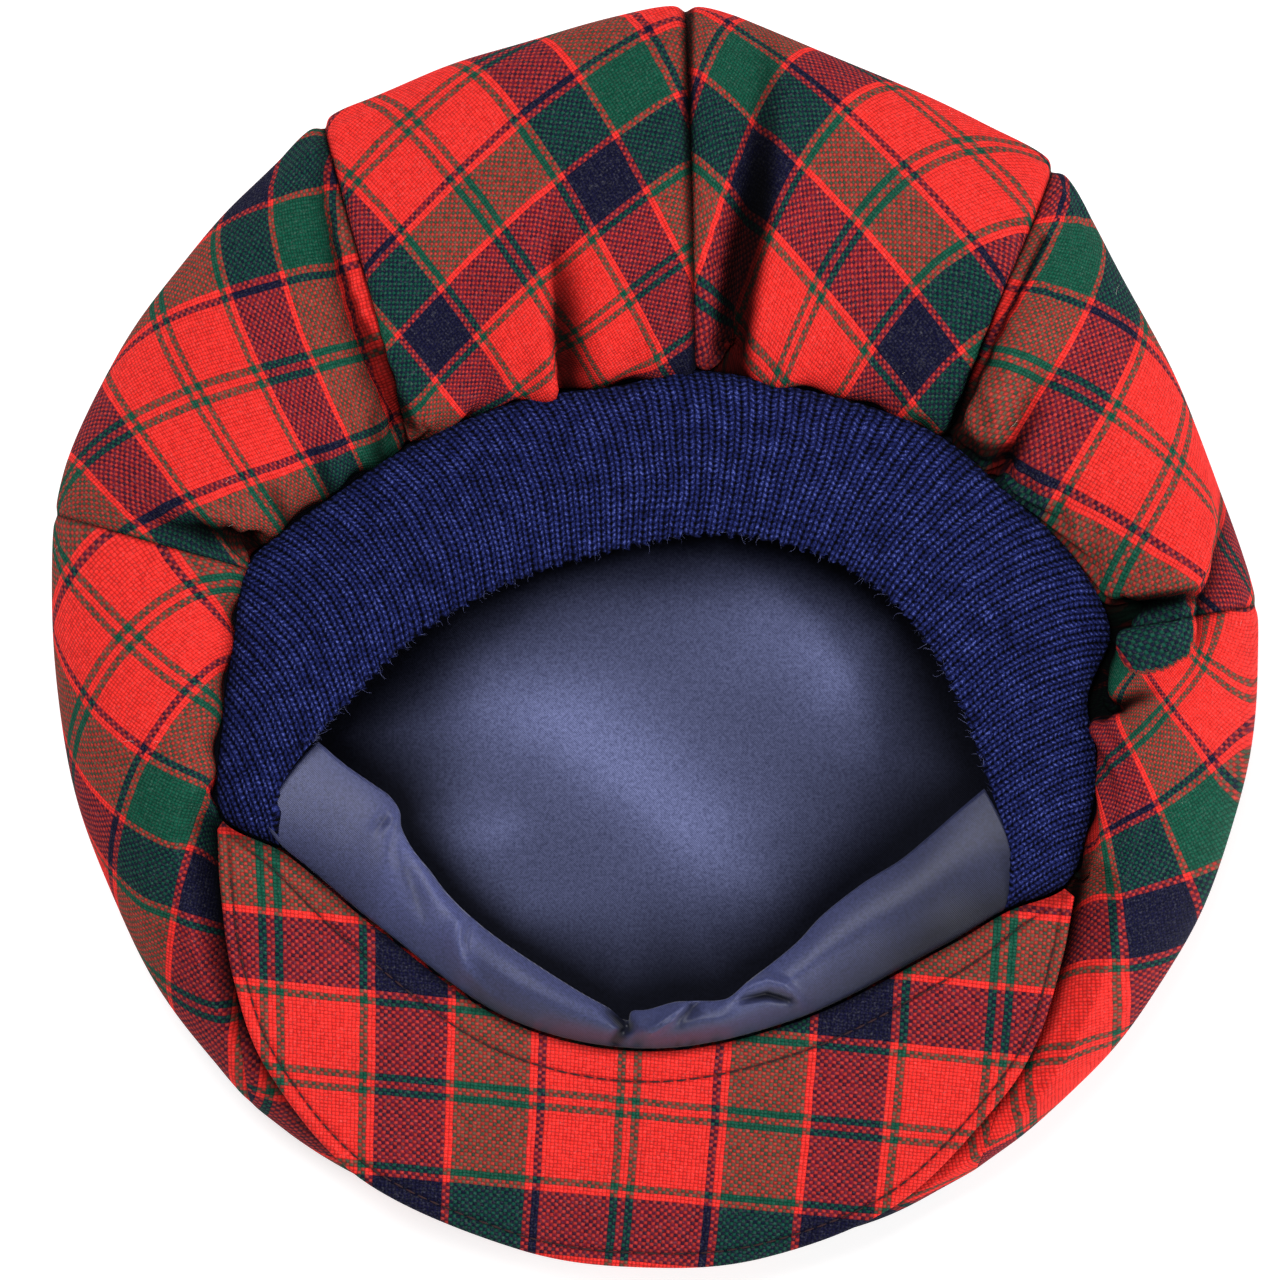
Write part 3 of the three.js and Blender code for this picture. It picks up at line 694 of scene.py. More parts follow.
tartan = {
    "pitch": 0.9244,        # from thread to thread
    "red": tint("#f4433c"),
    "green": tint("#156650"),
    "navy": tint("#17173e"),
    "shadowed": 0.45,       # how bright a thread stays on top of a black one
    "wander": 0.5,          # how far the threads stray from a straight line
    "kink": 0.35,           # and how much they bend from stitch to stitch
    "cover": 0.14,          # how much of the lower thread shows beside the upper one
    "fibreGlint": 0.3,           # painted highlights: pale glints on fibre ends, dimmed by the painted shade
    "grain": 0.34,          # how much single threads differ in brightness
    "cloud": 0.24,          # and how much larger patches do
    # threads in half of the sett, mirrored at both ends
    "sett": [("red", 1), ("green", 2), ("red", 18), ("navy", 2), ("red", 2), ("green", 19), ("red", 2),
             ("navy", 18), ("red", 2), ("green", 2), ("red", 19), ("green", 2), ("red", 1)],
}


def settThread(paint, place):
    # number of the thread at a place, how far across it the place lies, and its colour
    half = sum(width for _, width in tartan["sett"])
    stops, start = [], 0
    for name, width in tartan["sett"]:
        stops.append((start / half, tartan[name]))
        start += width
    count = place / tartan["pitch"]
    whole = paint.maths("FLOOR", count)
    folded = paint.maths("PINGPONG", whole + 0.5, half)
    return whole, count - whole, paint.ramp("steps", stops, folded / half)


def makeTartan():
    paint = Paint("tartanWool", {"Roughness": 0.95, "Specular IOR Level": 0.06})
    across, along = paint.clothPlace()
    across = across + (paint.spot(90.0) - 0.5) * tartan["wander"] + (paint.spot(800.0) - 0.5) * tartan["kink"]
    along = along + (paint.spot(110.0) - 0.5) * tartan["wander"] + (paint.spot(760.0) - 0.5) * tartan["kink"]
    warpCount, warpPart, warpColour = settThread(paint, across)
    weftCount, weftPart, weftColour = settThread(paint, along)
    over = (warpCount + weftCount) % 2.0
    upper = paint.mixColour(over, weftColour, warpColour)
    under = paint.mixColour(over, warpColour, weftColour)
    # a thread on top is round across its own run and dives at both ends
    ridge = paint.maths("SINE", paint.mixValue(over, weftPart, warpPart) * math.pi)
    dive = paint.maths("SINE", paint.mixValue(over, warpPart, weftPart) * math.pi)
    roundness = ridge ** 0.8 * (0.3 + dive * 0.7)
    crossing = paint.node("ShaderNodeCombineXYZ", None, {0: warpCount, 1: weftCount})
    grain = paint.node("ShaderNodeTexWhiteNoise", {"noise_dimensions": "2D"}, {"Vector": crossing})
    # light left by the painted shade of folds, seams and edges
    openness = 1.0 - paint.gloom()
    threadLight = 0.8 + grain * tartan["grain"]
    cloudLight = 0.88 + paint.spot(45.0) * tartan["cloud"]
    # painted shade between the threads, from their roundness, times each thread's and each patch's own
    # brightness
    light = (0.5 + roundness * 0.76) * threadLight * cloudLight * openness
    woven = paint.mixColour(tartan["cover"] * (1.35 - roundness) * (0.5 + grain), upper, under)
    shadowed = tartan["shadowed"]
    held = paint.vectorMaths("MULTIPLY_ADD", under, (1 - shadowed,) * 3, (shadowed,) * 3)
    coloured = paint.dimmed(paint.vectorMaths("MULTIPLY", woven, held), light)
    # painted glints of light on fibre ends, kept out of the painted shade
    fibreGlint = paint.spot(1900.0, 3.0) ** 6.0 * openness * tartan["fibreGlint"]
    paint.feed("Base Color", paint.vectorMaths("ADD", coloured, fibreGlint))
    paint.bump(0.6, 0.0003, roundness)
    return paint.material


knit = {
    # ramp colours from painted shade in the holes (gap, shade) through the yarn's own colour to painted light
    # on the strand tops
    "gap": tint("#010103"),
    "shade": tint("#090b2a"),
    "yarn": tint("#1f2760"),
    "light": tint("#515ca4"),
    "ribWander": 0.7,       # how far ribs and rows stray from a straight line
    "rowWander": 1.6,
    "hole": 0.95,           # depth of the holes between ribs, and of the line inside a rib
    "crease": 0.35,
    "relief": 0.62,         # how much the stitches' height shows in the colour as painted shade in holes and painted light on strands, and how much fuzz and cloudiness show
    "fuzz": 1.25,
    "cloud": 0.5,
    "level": 0.15,
}


def makeKnit():
    paint = Paint("navyRibKnit", {"Roughness": 0.95, "Specular IOR Level": 0.08})
    ribs, rows = paint.clothPlace()
    ribs = ribs + (paint.spot(70.0, 3.0) - 0.5) * knit["ribWander"]
    rows = rows + (paint.spot(130.0, 3.0) - 0.5) * knit["rowWander"]
    fuzz = (paint.spot(2400.0) - 0.5) * knit["fuzz"]
    cloud = (paint.spot(240.0) - 0.5) * knit["cloud"]
    side = paint.maths("ABSOLUTE", ribs - paint.maths("FLOOR", ribs) - 0.5) * 2.0
    rowPart = rows + side * 0.5
    rowPart = rowPart - paint.maths("FLOOR", rowPart)
    rung = paint.maths("SINE", rowPart * math.pi)
    # two strands to a rib, a fine dark line between them, and a row of holes beside them
    strand = paint.maths("SINE", side * (math.pi * 0.8) + 0.32)
    hole = side ** 4.0 * (1.15 - rung)
    crease = (1.0 - side) ** 6.0 * (1.0 - rung * 0.5)
    height = strand * (0.5 + rung * 0.5) - hole * knit["hole"] - crease * knit["crease"]
    level = height * knit["relief"] + fuzz + cloud + knit["level"]
    stops = [(0.0, knit["gap"]), (0.3, knit["shade"]), (0.7, knit["yarn"]), (1.0, knit["light"])]
    colour = paint.ramp("smooth", stops, level)
    paint.feed("Base Color", paint.dimmed(colour, 1.0 - paint.gloom()))
    paint.bump(0.9, 0.0006, height)
    return paint.material


satin = {
    "twillPitch": 0.52,     # from one slanted line of the twill to the next
    "twill": 0.3,
    "grain": 1.1,
    # darkest and lightest colour, roughness and gloss
    "facing": (tint("#262a4a"), tint("#585e90"), 0.45, 0.4),
    "lining": (tint("#3f4467"), tint("#858cbc"), 0.75, 0.05),
}


def makeSatin(name, kind):
    dark, light, roughness, gloss = satin[kind]
    paint = Paint(name, {"Roughness": roughness, "Specular IOR Level": gloss,
                         "Sheen Weight": gloss * 0.3, "Sheen Roughness": 0.35})
    x, y, _ = paint.parts(paint.objectPlace())
    twill = paint.maths("SINE", (x + y) * (2 * math.pi / (satin["twillPitch"] * 0.001)))
    level = 0.5 + twill * satin["twill"] + (paint.spot(1400.0) - 0.5) * satin["grain"]
    colour = paint.ramp("smooth", [(0.0, dark), (1.0, light)], level)
    paint.feed("Base Color", paint.dimmed(colour, 1.0 - paint.gloom()))
    paint.bump(0.25, 0.0001, twill)
    return paint.material


def makePlain(name, colour):
    return Paint(name, {"Roughness": 0.9, "Base Color": colour}).material


tartanWool = makeTartan()
navyRibKnit = makeKnit()
navySatin = makeSatin("navySatin", "facing")
liningSatin = makeSatin("liningSatin", "lining")
darkThread = makePlain("darkThread", tint("#2a0d12"))
paleFibre = makePlain("paleFibre", tint("#666b9c"))
lintFibre = makePlain("lintFibre", tint("#d8cfc4"))
print("materials mixed")


# Crown panels

panelNames = [
    "side_right_back", "back_right", "back_left", "side_left_back",
    "side_left_front", "front_left", "front_right", "side_right_front",
]

# How the tartan lies on each panel: warp and weft place, in millimetres of cloth, as bent planes
tartanLie = [
    ((8.3, 44.3, 11.6, 8.0, -4.9, -18.7, 7.5, 1.5, -22.7, 5.8),
     (-55.7, 16.1, 73.0, -2.5, 1.0, 4.2, 2.3, 4.7, 2.5, -4.8)),
    ((48.6, 28.6, 84.1, 19.7, -20.9, 3.3), (-38.4, 44.4, 129.5, 3.9, -0.2, 3.6)),
    ((32.0, 53.8, 125.5, 6.0, -5.7, -6.9), (-55.6, 22.2, 95.1, 2.3, 10.6, -1.1)),
    ((66.7, 12.6, 82.4, -2.4, -24.8, 0.3), (-20.3, 42.6, 173.1, 0, -1.6, -2.1)),
    ((13.7, 54.8, 43.9, -5.5, -2.2, -4.3, -9.1, -2.7, -2.6, 11.5),
     (-53.0, 20.4, 148.1, -2.0, 5.9, 6.2, 2.3, -4.4, -7.7, 1.4)),
    ((0.6, 42.3, 113.9, 0, 0.5, -9.0), (-47.0, -11.5, 72.5)),
    ((26.2, 42.6, 84.1), (-42.6, 26.2, 109.0)),
    ((-30.3, 30.5, 47.9, -15.2, -49.2, -31.9, -9.0, -8.1, 2.0, 3.7),
     (-43.2, -5.2, 44.2, -0.6, 30.7, 5.4, -14.9, -29.1, -4.4, -9.9)),
]

lie = {
    "unit": 50,             # those planes count places on a panel in this many millimetres
    "start": 45,            # and from this far outside the neck
    "turning": 16,          # below the rim the cloth turns over this length to its mean direction
    "straightening": 60,    # and comes to lie straight over this one
    # the tucked roll on the right shows cloth from further in: its plan, its middle and its own planes
    "tuck": np.array([(105.5, 7), (108.5, -6.5), (111, -8.5), (117, -7.5), (123.2, -4), (124.8, 10.5),
                      (118, 9.5), (112, 8.5)]),
    "tuckMiddle": 116.5,
    "tuckPlanes": ((0.9, 0.4, 31.5), (-0.4, 0.9, 51.0)),
}


def panelPlan(panel, turns, courses):
    # each point's place across its panel and out from the neck, as if the cloth lay flat, and the same
    # place held back to the rim
    plain = crownPlace(turns, courses)
    rows = courses[:, 0]
    run = runAlong(plain, 0)
    out = np.array([np.interp(3.8, rows, column) for column in run.T]) - run
    outRim = np.array([np.interp(2.0, rows, column) for column in out.T])
    neck = crownPlace(turns[0], np.full_like(turns[0], 3.8))
    middle, rim = crownPlace(np.array([panel + 0.5, panel + 0.5]), np.array([3.8, 2.0]))
    outward = (rim - middle)[:2]
    outward = outward / np.linalg.norm(outward)
    sideways = np.array([-outward[1], outward[0]])
    across = (plain[..., :2] - middle[:2]) @ sideways / lie["unit"]
    neckOut = (neck[..., :2] - middle[:2]) @ outward - lie["start"]
    far = (neckOut + out) / lie["unit"]
    return across, far, np.minimum(far, (neckOut + outRim) / lie["unit"])


def tartanOnPanel(panel, turns, courses):
    # the cloth's own place of every point
    across, far, held = panelPlan(panel, turns, courses)
    bent = np.stack([bentPlane(across, held, row) for row in tartanLie[panel]], -1)
    slope = np.stack([bentPlaneRise(across, held, row) for row in tartanLie[panel]], -1)
    slope = slope * lie["unit"] / np.maximum(np.linalg.norm(slope, axis=-1, keepdims=True), 1)
    # below the rim, towards the top of the cap, the cloth straightens to its mean lie beside the rim
    besideRim = (courses >= 1.9) & (courses <= 2.6)
    places = np.stack([across, far], -1)
    placeMean = places[besideRim].mean(axis=0)
    lieMean = bent[besideRim].mean(axis=0)
    first, _, second = np.linalg.svd((bent[besideRim] - lieMean).T @ (places[besideRim] - placeMean))
    turned = (first @ second).T * lie["unit"]
    straight = lieMean + (places - placeMean) @ turned
    beyond = (far - held)[..., None]
    length = lie["turning"] / lie["unit"]
    turning = np.minimum(beyond, length)
    turning = turning - turning ** 2 / (2 * length)
    bent = bent + slope * turning + turned[1] * (beyond - turning)
    share = np.clip(beyond * lie["unit"] / lie["straightening"], 0, 1)
    chart = bent + (straight - bent) * share * share * (3 - 2 * share)
    plain = crownPlace(turns, courses)
    x, y = plain[..., 0], plain[..., 1]
    tucked = insideLoop(x, y, lie["tuck"]) & (courses > 2)
    for axis, row in enumerate(lie["tuckPlanes"]):
        chart[..., axis] = np.where(tucked, bentPlane(x - lie["tuckMiddle"], y, row), chart[..., axis])
    return chart


def seamRise(panel, seam, startHalf, width, run):
    # the groove of a seam, the cloth that stands up beside it, and its puckers
    plain = np.where(startHalf, crown["seamShare"][panel], crown["seamShare"][(panel + 1) % 8])
    plain = np.minimum(1, width / 40) * plain
    rise = -crown["seamDepth"] * np.exp(-(seam / crown["seamWidth"]) ** 2) * plain
    near = seam / crown["bulgeWidth"]
    bulge = near * np.exp(1 - near) * plain
    phase = 2.1 * panel + np.where(startHalf, 0, 1.7)
    pucker = np.sin(run * 2 * math.pi / crown["puckerPitch"] + phase + 1.3 * np.sin(run / 11.0 + phase))
    return rise + (crown["seamBulge"] + crown["pucker"] * pucker) * bulge


def panelGloom(panel, points, flat, courses, seam, startHalf, toNeck):
    # darkness in folds, along seams, at the neck and beside the peak
    hollow = np.maximum(-foldRise(flat[..., 0], flat[..., 1], crownFolds) * foldShare(courses), 0)
    hollow = np.hypot(hollow, foldRise(flat[..., 0], flat[..., 1], hollowShade) * (courses > 2))
    deepest, depth = crown["foldShade"]
    light = 1 - deepest * (1 - np.exp(-(hollow / depth) ** 2))
    line = np.where(startHalf, crown["seamShadow"][panel], crown["seamShadow"][(panel + 1) % 8])
    light = light * (1 - line * np.exp(-(seam / crown["seamShade"]) ** 2))
    dark, width = crown["neckShade"]
    light = light * (1 - dark * np.exp(-(toNeck / width) ** 2))
    x, y = points[..., 0], points[..., 1]
    leftStart, rightStart = crown["cornerStart"]
    corner = np.clip((y - np.where(x < 0, leftStart, rightStart)) / crown["cornerLength"], 0, 1)
    (dark, width), (cornerDark, cornerWidth) = crown["peakShade"]
    dark = dark + (cornerDark - dark) * corner
    width = width + (cornerWidth - width) * corner
    besidePeak = dark * np.exp(-(distanceFromLine(x, y, peakLoop) / width) ** 2)
    return 1 - np.where(courses > 2, light * (1 - besidePeak), light)


def makePanel(panel):
    shares = np.linspace(0, 1, crown["columns"] + 1)
    shares = shares - 0.06 * np.sin(shares * 2 * math.pi)   # more columns close to the seams
    courses, turns = np.meshgrid(courseRows(crown["rows"]), panel + shares, indexing="ij")
    inner = np.clip(turns, panel + 1e-6, panel + 1 - 1e-6)
    points = foldedPlace(inner, courses)
    outward = outwardNormals(foldedPlace, turns, courses)
    run = runAlong(points, 0)
    toNeck = run[-1:] - run
    fromStart = runAlong(points, 1)
    width = fromStart[:, -1:]
    startHalf = fromStart < width - fromStart
    seam = np.minimum(fromStart, width - fromStart)
    x, y, z = points[..., 0], points[..., 1], points[..., 2]
    rise = seamRise(panel, seam, startHalf, width, run)
    rise += crown["wave"] * slowWave(x, y, z, crown["waveLength"]) * np.clip(seam / 12, 0, 1)
    gather = np.sin(fromStart * 2 * math.pi / crown["neckGatherPitch"] + 1.1 * panel + np.sin(fromStart / 9))
    gather = gather * np.exp(-(toNeck / crown["neckGatherReach"]) ** 2)
    rise += crown["neckGather"] * gather * np.clip(seam / 5, 0, 1)
    # none of it where the crown rests on the table
    rise = np.where(courses > 0.9, rise * np.clip((courses - 0.9) / 0.5, 0, 1), 0)
    points = points + outward * rise[..., None]
    points[..., 2] = np.maximum(points[..., 2], 0.0)
    gloom = panelGloom(panel, points, crownPlace(inner, courses), courses, seam, startHalf, toNeck)
    chart = tartanOnPanel(panel, inner, courses)
    piece = layCloth("panel_" + panelNames[panel], points, chart, gloom)
    mergeEdges(piece)
    giveWall(piece, crown["wall"])
    finishPiece(piece, tartanWool, "crown_panel_" + panelNames[panel])


for number in range(8):
    makePanel(number)
print("crown sewn from eight panels")


# Knitted band

band = {
    "wall": 2.4,
    "foot": 50.5,           # height of its sewn edge
    "clearance": 0.6,       # how far that lies inside the neck
    "dome": 2.5,            # how much it rises between its two edges
    "from": 16.0,           # its left and right end along the neck line
    "to": 22.0,
    "columns": 860,
    "rows": 48,
    "ribRise": 0.4,
    "wave": 0.5,            # slow waves
    "waveLength": 48.0,
    "scallop": 0.5,         # how unevenly the ribs end at the free edge
    # ribs and knitted rows, counted as bent planes over the plan in units of 50 mm
    "ribs": (25.4, -5.5, 0, -0.9, -8.1, 3.2, 1.0, -0.8, 0.8, -1.6),
    "courses": (-0.4, 26.6, 0, 8.6, -3.1, 5.2, -0.1, 0.8, 2.0, 0.6),
    "leftBow": (-6.0, -1.5),    # how far its ends bow outwards, in x and y
    "rightBow": (3.0, -2.5),
    "bowReach": 0.035,
    "footShade": (0.55, 2.2),   # darkness along its sewn and its free edge, with its width
    "edgeShade": (0.35, 1.2),
    # x, y and height of the free edge from the left end round the back to the right end
    "freeEdge": np.array([
        (-80, -25.5, 56), (-76.5, -21, 57), (-69, -13, 58), (-58, -2, 59), (-45, 7, 60), (-27, 15.3, 61),
        (-4, 21.5, 62), (15, 24, 62), (34, 20.5, 61), (47, 14.3, 60), (57, 6, 59), (64.5, -4, 58),
        (71, -17, 58), (75.5, -29, 57), (77.6, -36, 56),
    ]),
}


def makeBand():
    # v runs from the sewn edge to the free edge, u from the left end round the back to the right end
    v, u = np.meshgrid(np.linspace(0, 1, band["rows"] + 1), np.linspace(1, 0, band["columns"] + 1),
                       indexing="ij")
    span = band["from"] + len(neckLine) - band["to"]
    foot = neckPoint(band["from"] - span * u + len(neckLine), -band["clearance"])
    free = alongTable(band["freeEdge"], u * (len(band["freeEdge"]) - 1))
    points = foot + (free - foot) * v[..., None]
    bow = np.sin(math.pi * v)
    for axis in (0, 1):
        points[..., axis] += bow * band["leftBow"][axis] * np.exp(-u / band["bowReach"])
        points[..., axis] += bow * band["rightBow"][axis] * np.exp((u - 1) / band["bowReach"])
    points[..., 2] = band["foot"] + (free[..., 2] - band["foot"]) * v + band["dome"] * bow
    x, y = points[..., 0] / 50, points[..., 1] / 50
    ribs = bentPlane(x, y, band["ribs"])
    courses = bentPlane(x, y, band["courses"])
    hill = 0.5 - 0.5 * np.cos(ribs * 2 * math.pi)
    normal = surfaceNormals(points)
    wave = slowWave(points[..., 0], points[..., 1], 0 * x, band["waveLength"])
    lift = band["ribRise"] * hill + band["wave"] * wave
    ends = np.clip(np.minimum(u, 1 - u) * 40, 0, 1)
    points = points + normal * (lift * ends * np.clip(v * 12, 0.3, 1))[..., None]
    out = (free - foot) / np.linalg.norm(free - foot, axis=-1, keepdims=True)
    fringe = band["scallop"] * (hill + 0.7 * np.sin(ribs * 3.7) + 0.4 * np.sin(ribs * 9.1 + 2))
    points = points + out * (fringe * v ** 10)[..., None]
    width = np.linalg.norm((free - foot)[..., :2], axis=-1)
    gloom = 0
    for (dark, reach), away in ((band["footShade"], v * width), (band["edgeShade"], (1 - v) * width)):
        gloom = gloom + dark * np.exp(-(away / reach) ** 2)
    piece = layCloth("knitBand", points, np.stack([ribs, courses], -1), gloom)
    giveWall(piece, band["wall"])
    finishPiece(piece, navyRibKnit, "knit_band")
    # its free edge, with the directions up and inwards there
    return points[-1], normal[-1], out[-1]


bandEdge, bandUp, bandOut = makeBand()
print("band knitted")


# Front facing

facing = {
    "wall": 0.8,
    "footDrop": 1.0,        # how far its foot lies below the peak's seen side, and inside the neck
    "clearance": 0.6,
    "columns": 300,
    "rows": 44,
    "crest": 0.62,          # where it is highest between its foot and its free edge
    "droop": 3.5,           # how far the free edge hangs below that
    "lowered": 3.0,         # how much lower it all lies than the heights of the free edge below
    "wave": 0.35,
    "waveLength": 34.0,
    "footShade": 0.45,      # how dark it is along its foot, and towards its right and left end
    "rightShade": 0.56,
    "leftShade": 0.2,
    "middleShade": 0.26,    # between its sharp crease on the left and the start of the right half
    "foldShade": 0.2,       # and in its creases, for each millimetre of depth
    "ridgeLight": 0.04,     # lighter on its ridges
    "leftBow": (-8.5, -2.5),    # how far its ends reach under the band
    "rightBow": (5.5, -3.5),
    "bowReach": 0.05,
    # x, y and height of the free edge from its left end to its right end
    "freeEdge": np.array([
        (-78, -24, 57), (-71.5, -29.5, 57.5), (-65, -34, 58), (-61.2, -36.8, 58), (-58.9, -40.3, 58),
        (-58.5, -44, 57.5), (-55.9, -49, 57), (-51.8, -54.1, 57), (-48.1, -59, 57), (-42.6, -64.5, 57),
        (-35.7, -70, 57), (-26.5, -76.2, 57), (-17.3, -82, 56), (-10.8, -85.7, 54.5), (-7.6, -88.5, 52.5),
        (-6.2, -89, 51.5), (-5.4, -86.5, 53), (-1.6, -86, 55.5), (4.6, -84.2, 57), (9, -84, 56.5),
        (16.2, -83.5, 57.5), (21.2, -79.5, 58), (27, -75.2, 58), (33, -70.2, 58), (38.8, -64, 58),
        (48, -56.8, 58), (56.5, -51.5, 58), (63.2, -46, 58), (69.8, -40.2, 57.5), (76, -35, 57),
    ]),
    "folds": [
        ([(-62.4, -42, -1.3), (-65.4, -45.8, 0)], 1.1, 1.3),
        ([(-59.5, -43, 0.8), (-56, -50, 1.6), (-51, -58, 1.6), (-45.5, -65.5, 1.2)], 1.8, 2.6),
        ([(-60, -46, -0.6), (-58.5, -53, -1.5), (-55.5, -60, -1.2), (-51.5, -68, 0)], 3.2, 1.6),
        ([(-44.6, -65, 1.2), (-45.4, -70, 1.6), (-44.2, -76, 1.4), (-38.5, -83, 1.0),
          (-28, -88, 0.5)], 1.7, 2.6),
        ([(-42.8, -64.5, -1.3), (-43.8, -70, -1.5), (-43.4, -75, -0.4)], 0.7, 0.8),
        ([(-10.5, -86.5, -2.0), (-6.8, -90.3, -4.5), (-9.5, -93.5, -2)], 1.6, 1.1),
        ([(-5.0, -92, 0.5), (-0.7, -91, 2.0), (2.8, -88.5, 2.2), (6.4, -85.2, 2.0)], 1.5, 1.1),
        ([(-0.5, -90.8, -0.7), (4.2, -87.3, -0.7)], 0.35, 0.4),
        ([(5.7, -88.5, -1.6), (8.6, -85.4, -2.2)], 1.0, 1.8),
        ([(16.4, -83.6, 1.5), (20.5, -80.2, 3.2), (25.8, -78.6, 3.6), (30, -80, 3.2), (33, -83.3, 2.2),
          (34.8, -87, 0.6)], 1.0, 2.2),
        ([(20.3, -83.4, -2.5), (25.8, -82.3, -4.8), (31, -83.6, -3.2)], 0.8, 1.2),
        ([(-4.2, -94, -0.8), (-4, -92, 0)], 0.9, 0.9),
        ([(5.2, -94.4, -0.8), (5.6, -92, 0)], 0.9, 0.9),
        ([(8.5, -94.4, -0.8), (9.5, -91.5, 0)], 0.8, 0.8),
        ([(13.8, -93.2, -0.8), (15, -90, 0)], 1.0, 1.0),
    ],
}


def facingGloom(u, v, rise):
    # painted shade: darker along its foot, at its ends, in its middle and in its creases, and painted light
    # on its ridges
    dark = facing["footShade"] * (1 - v) ** 1.5
    dark = dark + facing["rightShade"] * np.clip((u - 0.6) / 0.3, 0, 1)
    dark = dark + facing["leftShade"] * np.clip((0.15 - u) / 0.05, 0, 1)
    dark = dark + facing["middleShade"] * np.clip((u - 0.275) / 0.02, 0, 1) * np.clip((0.66 - u) / 0.08, 0, 1)
    dark = dark + facing["foldShade"] * np.maximum(-rise, 0) - facing["ridgeLight"] * np.maximum(rise, 0)
    return np.clip(dark, -0.3, 0.9)


def makeFacing():
    # u runs from the left end to the right end, v from the sewn foot to the free edge
    count = facing["columns"] + 1
    neckPlaces = np.linspace(band["from"] + 0.02, band["to"] - 0.02, 400)
    foot = evenSteps(neckPoint(neckPlaces, -facing["clearance"]), count)
    foot[:, 2] = peakHeight(foot[:, 0], foot[:, 1]) - facing["footDrop"]
    free = evenSteps(facing["freeEdge"], count)
    free[:, 2] -= facing["lowered"]
    u = np.linspace(0, 1, count)[None]
    v = np.linspace(0, 1, facing["rows"] + 1)[:, None]
    points = foot[None] + (free - foot)[None] * v[..., None]
    for end, away in (("leftBow", u), ("rightBow", 1 - u)):
        for axis in (0, 1):
            points[..., axis] += np.sin(math.pi * v) * facing[end][axis] * np.exp(-away / facing["bowReach"])
    crest = facing["crest"]
    climb = 1 - (1 - np.minimum(v / crest, 1)) ** 1.7
    over = np.maximum(v - crest, 0) / (1 - crest)
    wide = np.clip(np.linalg.norm(free - foot, axis=1)[None] / 22, 0.25, 1)
    points[..., 2] = foot[None, :, 2] + (free - foot)[None, :, 2] * climb - facing["droop"] * over ** 2 * wide
    x, y = points[..., 0], points[..., 1]
    fade = np.clip(v / 0.1, 0, 1)       # nothing moves where it is sewn
    rise = foldRise(x, y, facing["folds"])
    points[..., 2] += rise * fade
    points[..., 2] += facing["wave"] * slowWave(x, y, 0 * x, facing["waveLength"]) * fade
    piece = layCloth("frontFacing", points, None, facingGloom(u, v, rise))
    giveWall(piece, facing["wall"])
    finishPiece(piece, navySatin, "front_facing")


makeFacing()
print("facing sewn in")


# Lining

def liningGloom(x, y, billow):
    # it is dark under the band and the facing, and slack cloth catches more light
    opening = np.vstack([band["freeEdge"][:, :2], facing["freeEdge"][::-1, :2]])
    inside = np.where(insideLoop(x, y, opening), 1, -1)
    depth = distanceFromLine(x, y, np.vstack([opening, opening[:1]])) * inside
    angle = np.degrees(np.arctan2(y + 25, x + 2))
    reach = np.interp(angle, lining["gloomAngle"], lining["gloomReach"], period=360)
    share = np.clip(depth / reach + 0.1, 0, 1)
    share = share * share * (3 - 2 * share)
    share = share * (lining["flat"] + (1 - lining["flat"]) * np.clip(billow / 9, 0, 1.1))
    return 1 - np.maximum(share, 0.03)


def makeLining():
    rows = courseRows(lining["rows"])
    around = np.linspace(0, 8, lining["columns"] + 1)
    courses, turns = np.meshgrid(rows, around, indexing="ij")
    points = crownPlace(turns, courses, inside=True)
    x, y = points[..., 0], points[..., 1]
    # it follows the crown's hollows, its middle is one point, and both ends of the grid meet
    points[..., 2] += np.minimum(foldRise(x, y, crownFolds), 0) * foldShare(courses) * lining["hollowShare"]
    points[0] = points[0].mean(axis=0)
    points[:, -1] = points[:, 0]
    looseEnd, looseFade = lining["loose"]
    loose = np.clip((looseEnd - courses) / looseFade, 0, 1)
    level = slowWave(x, y, 0 * x, 95.0) + 0.5 * slowWave(y, -x, 0 * x, 41.0)
    points[..., 2] += lining["wave"] * (0.9 + level) * loose
    billow = foldRise(x, y, lining["billows"])
    points[..., 2] += lining["billowRise"] * billow * loose
    piece = layCloth("liningBag", points, None, liningGloom(x, y, billow))
    mergeEdges(piece)
    giveWall(piece, lining["wall"])
    finishPiece(piece, liningSatin, "lining")


makeLining()
print("lining laid in")


# Peak

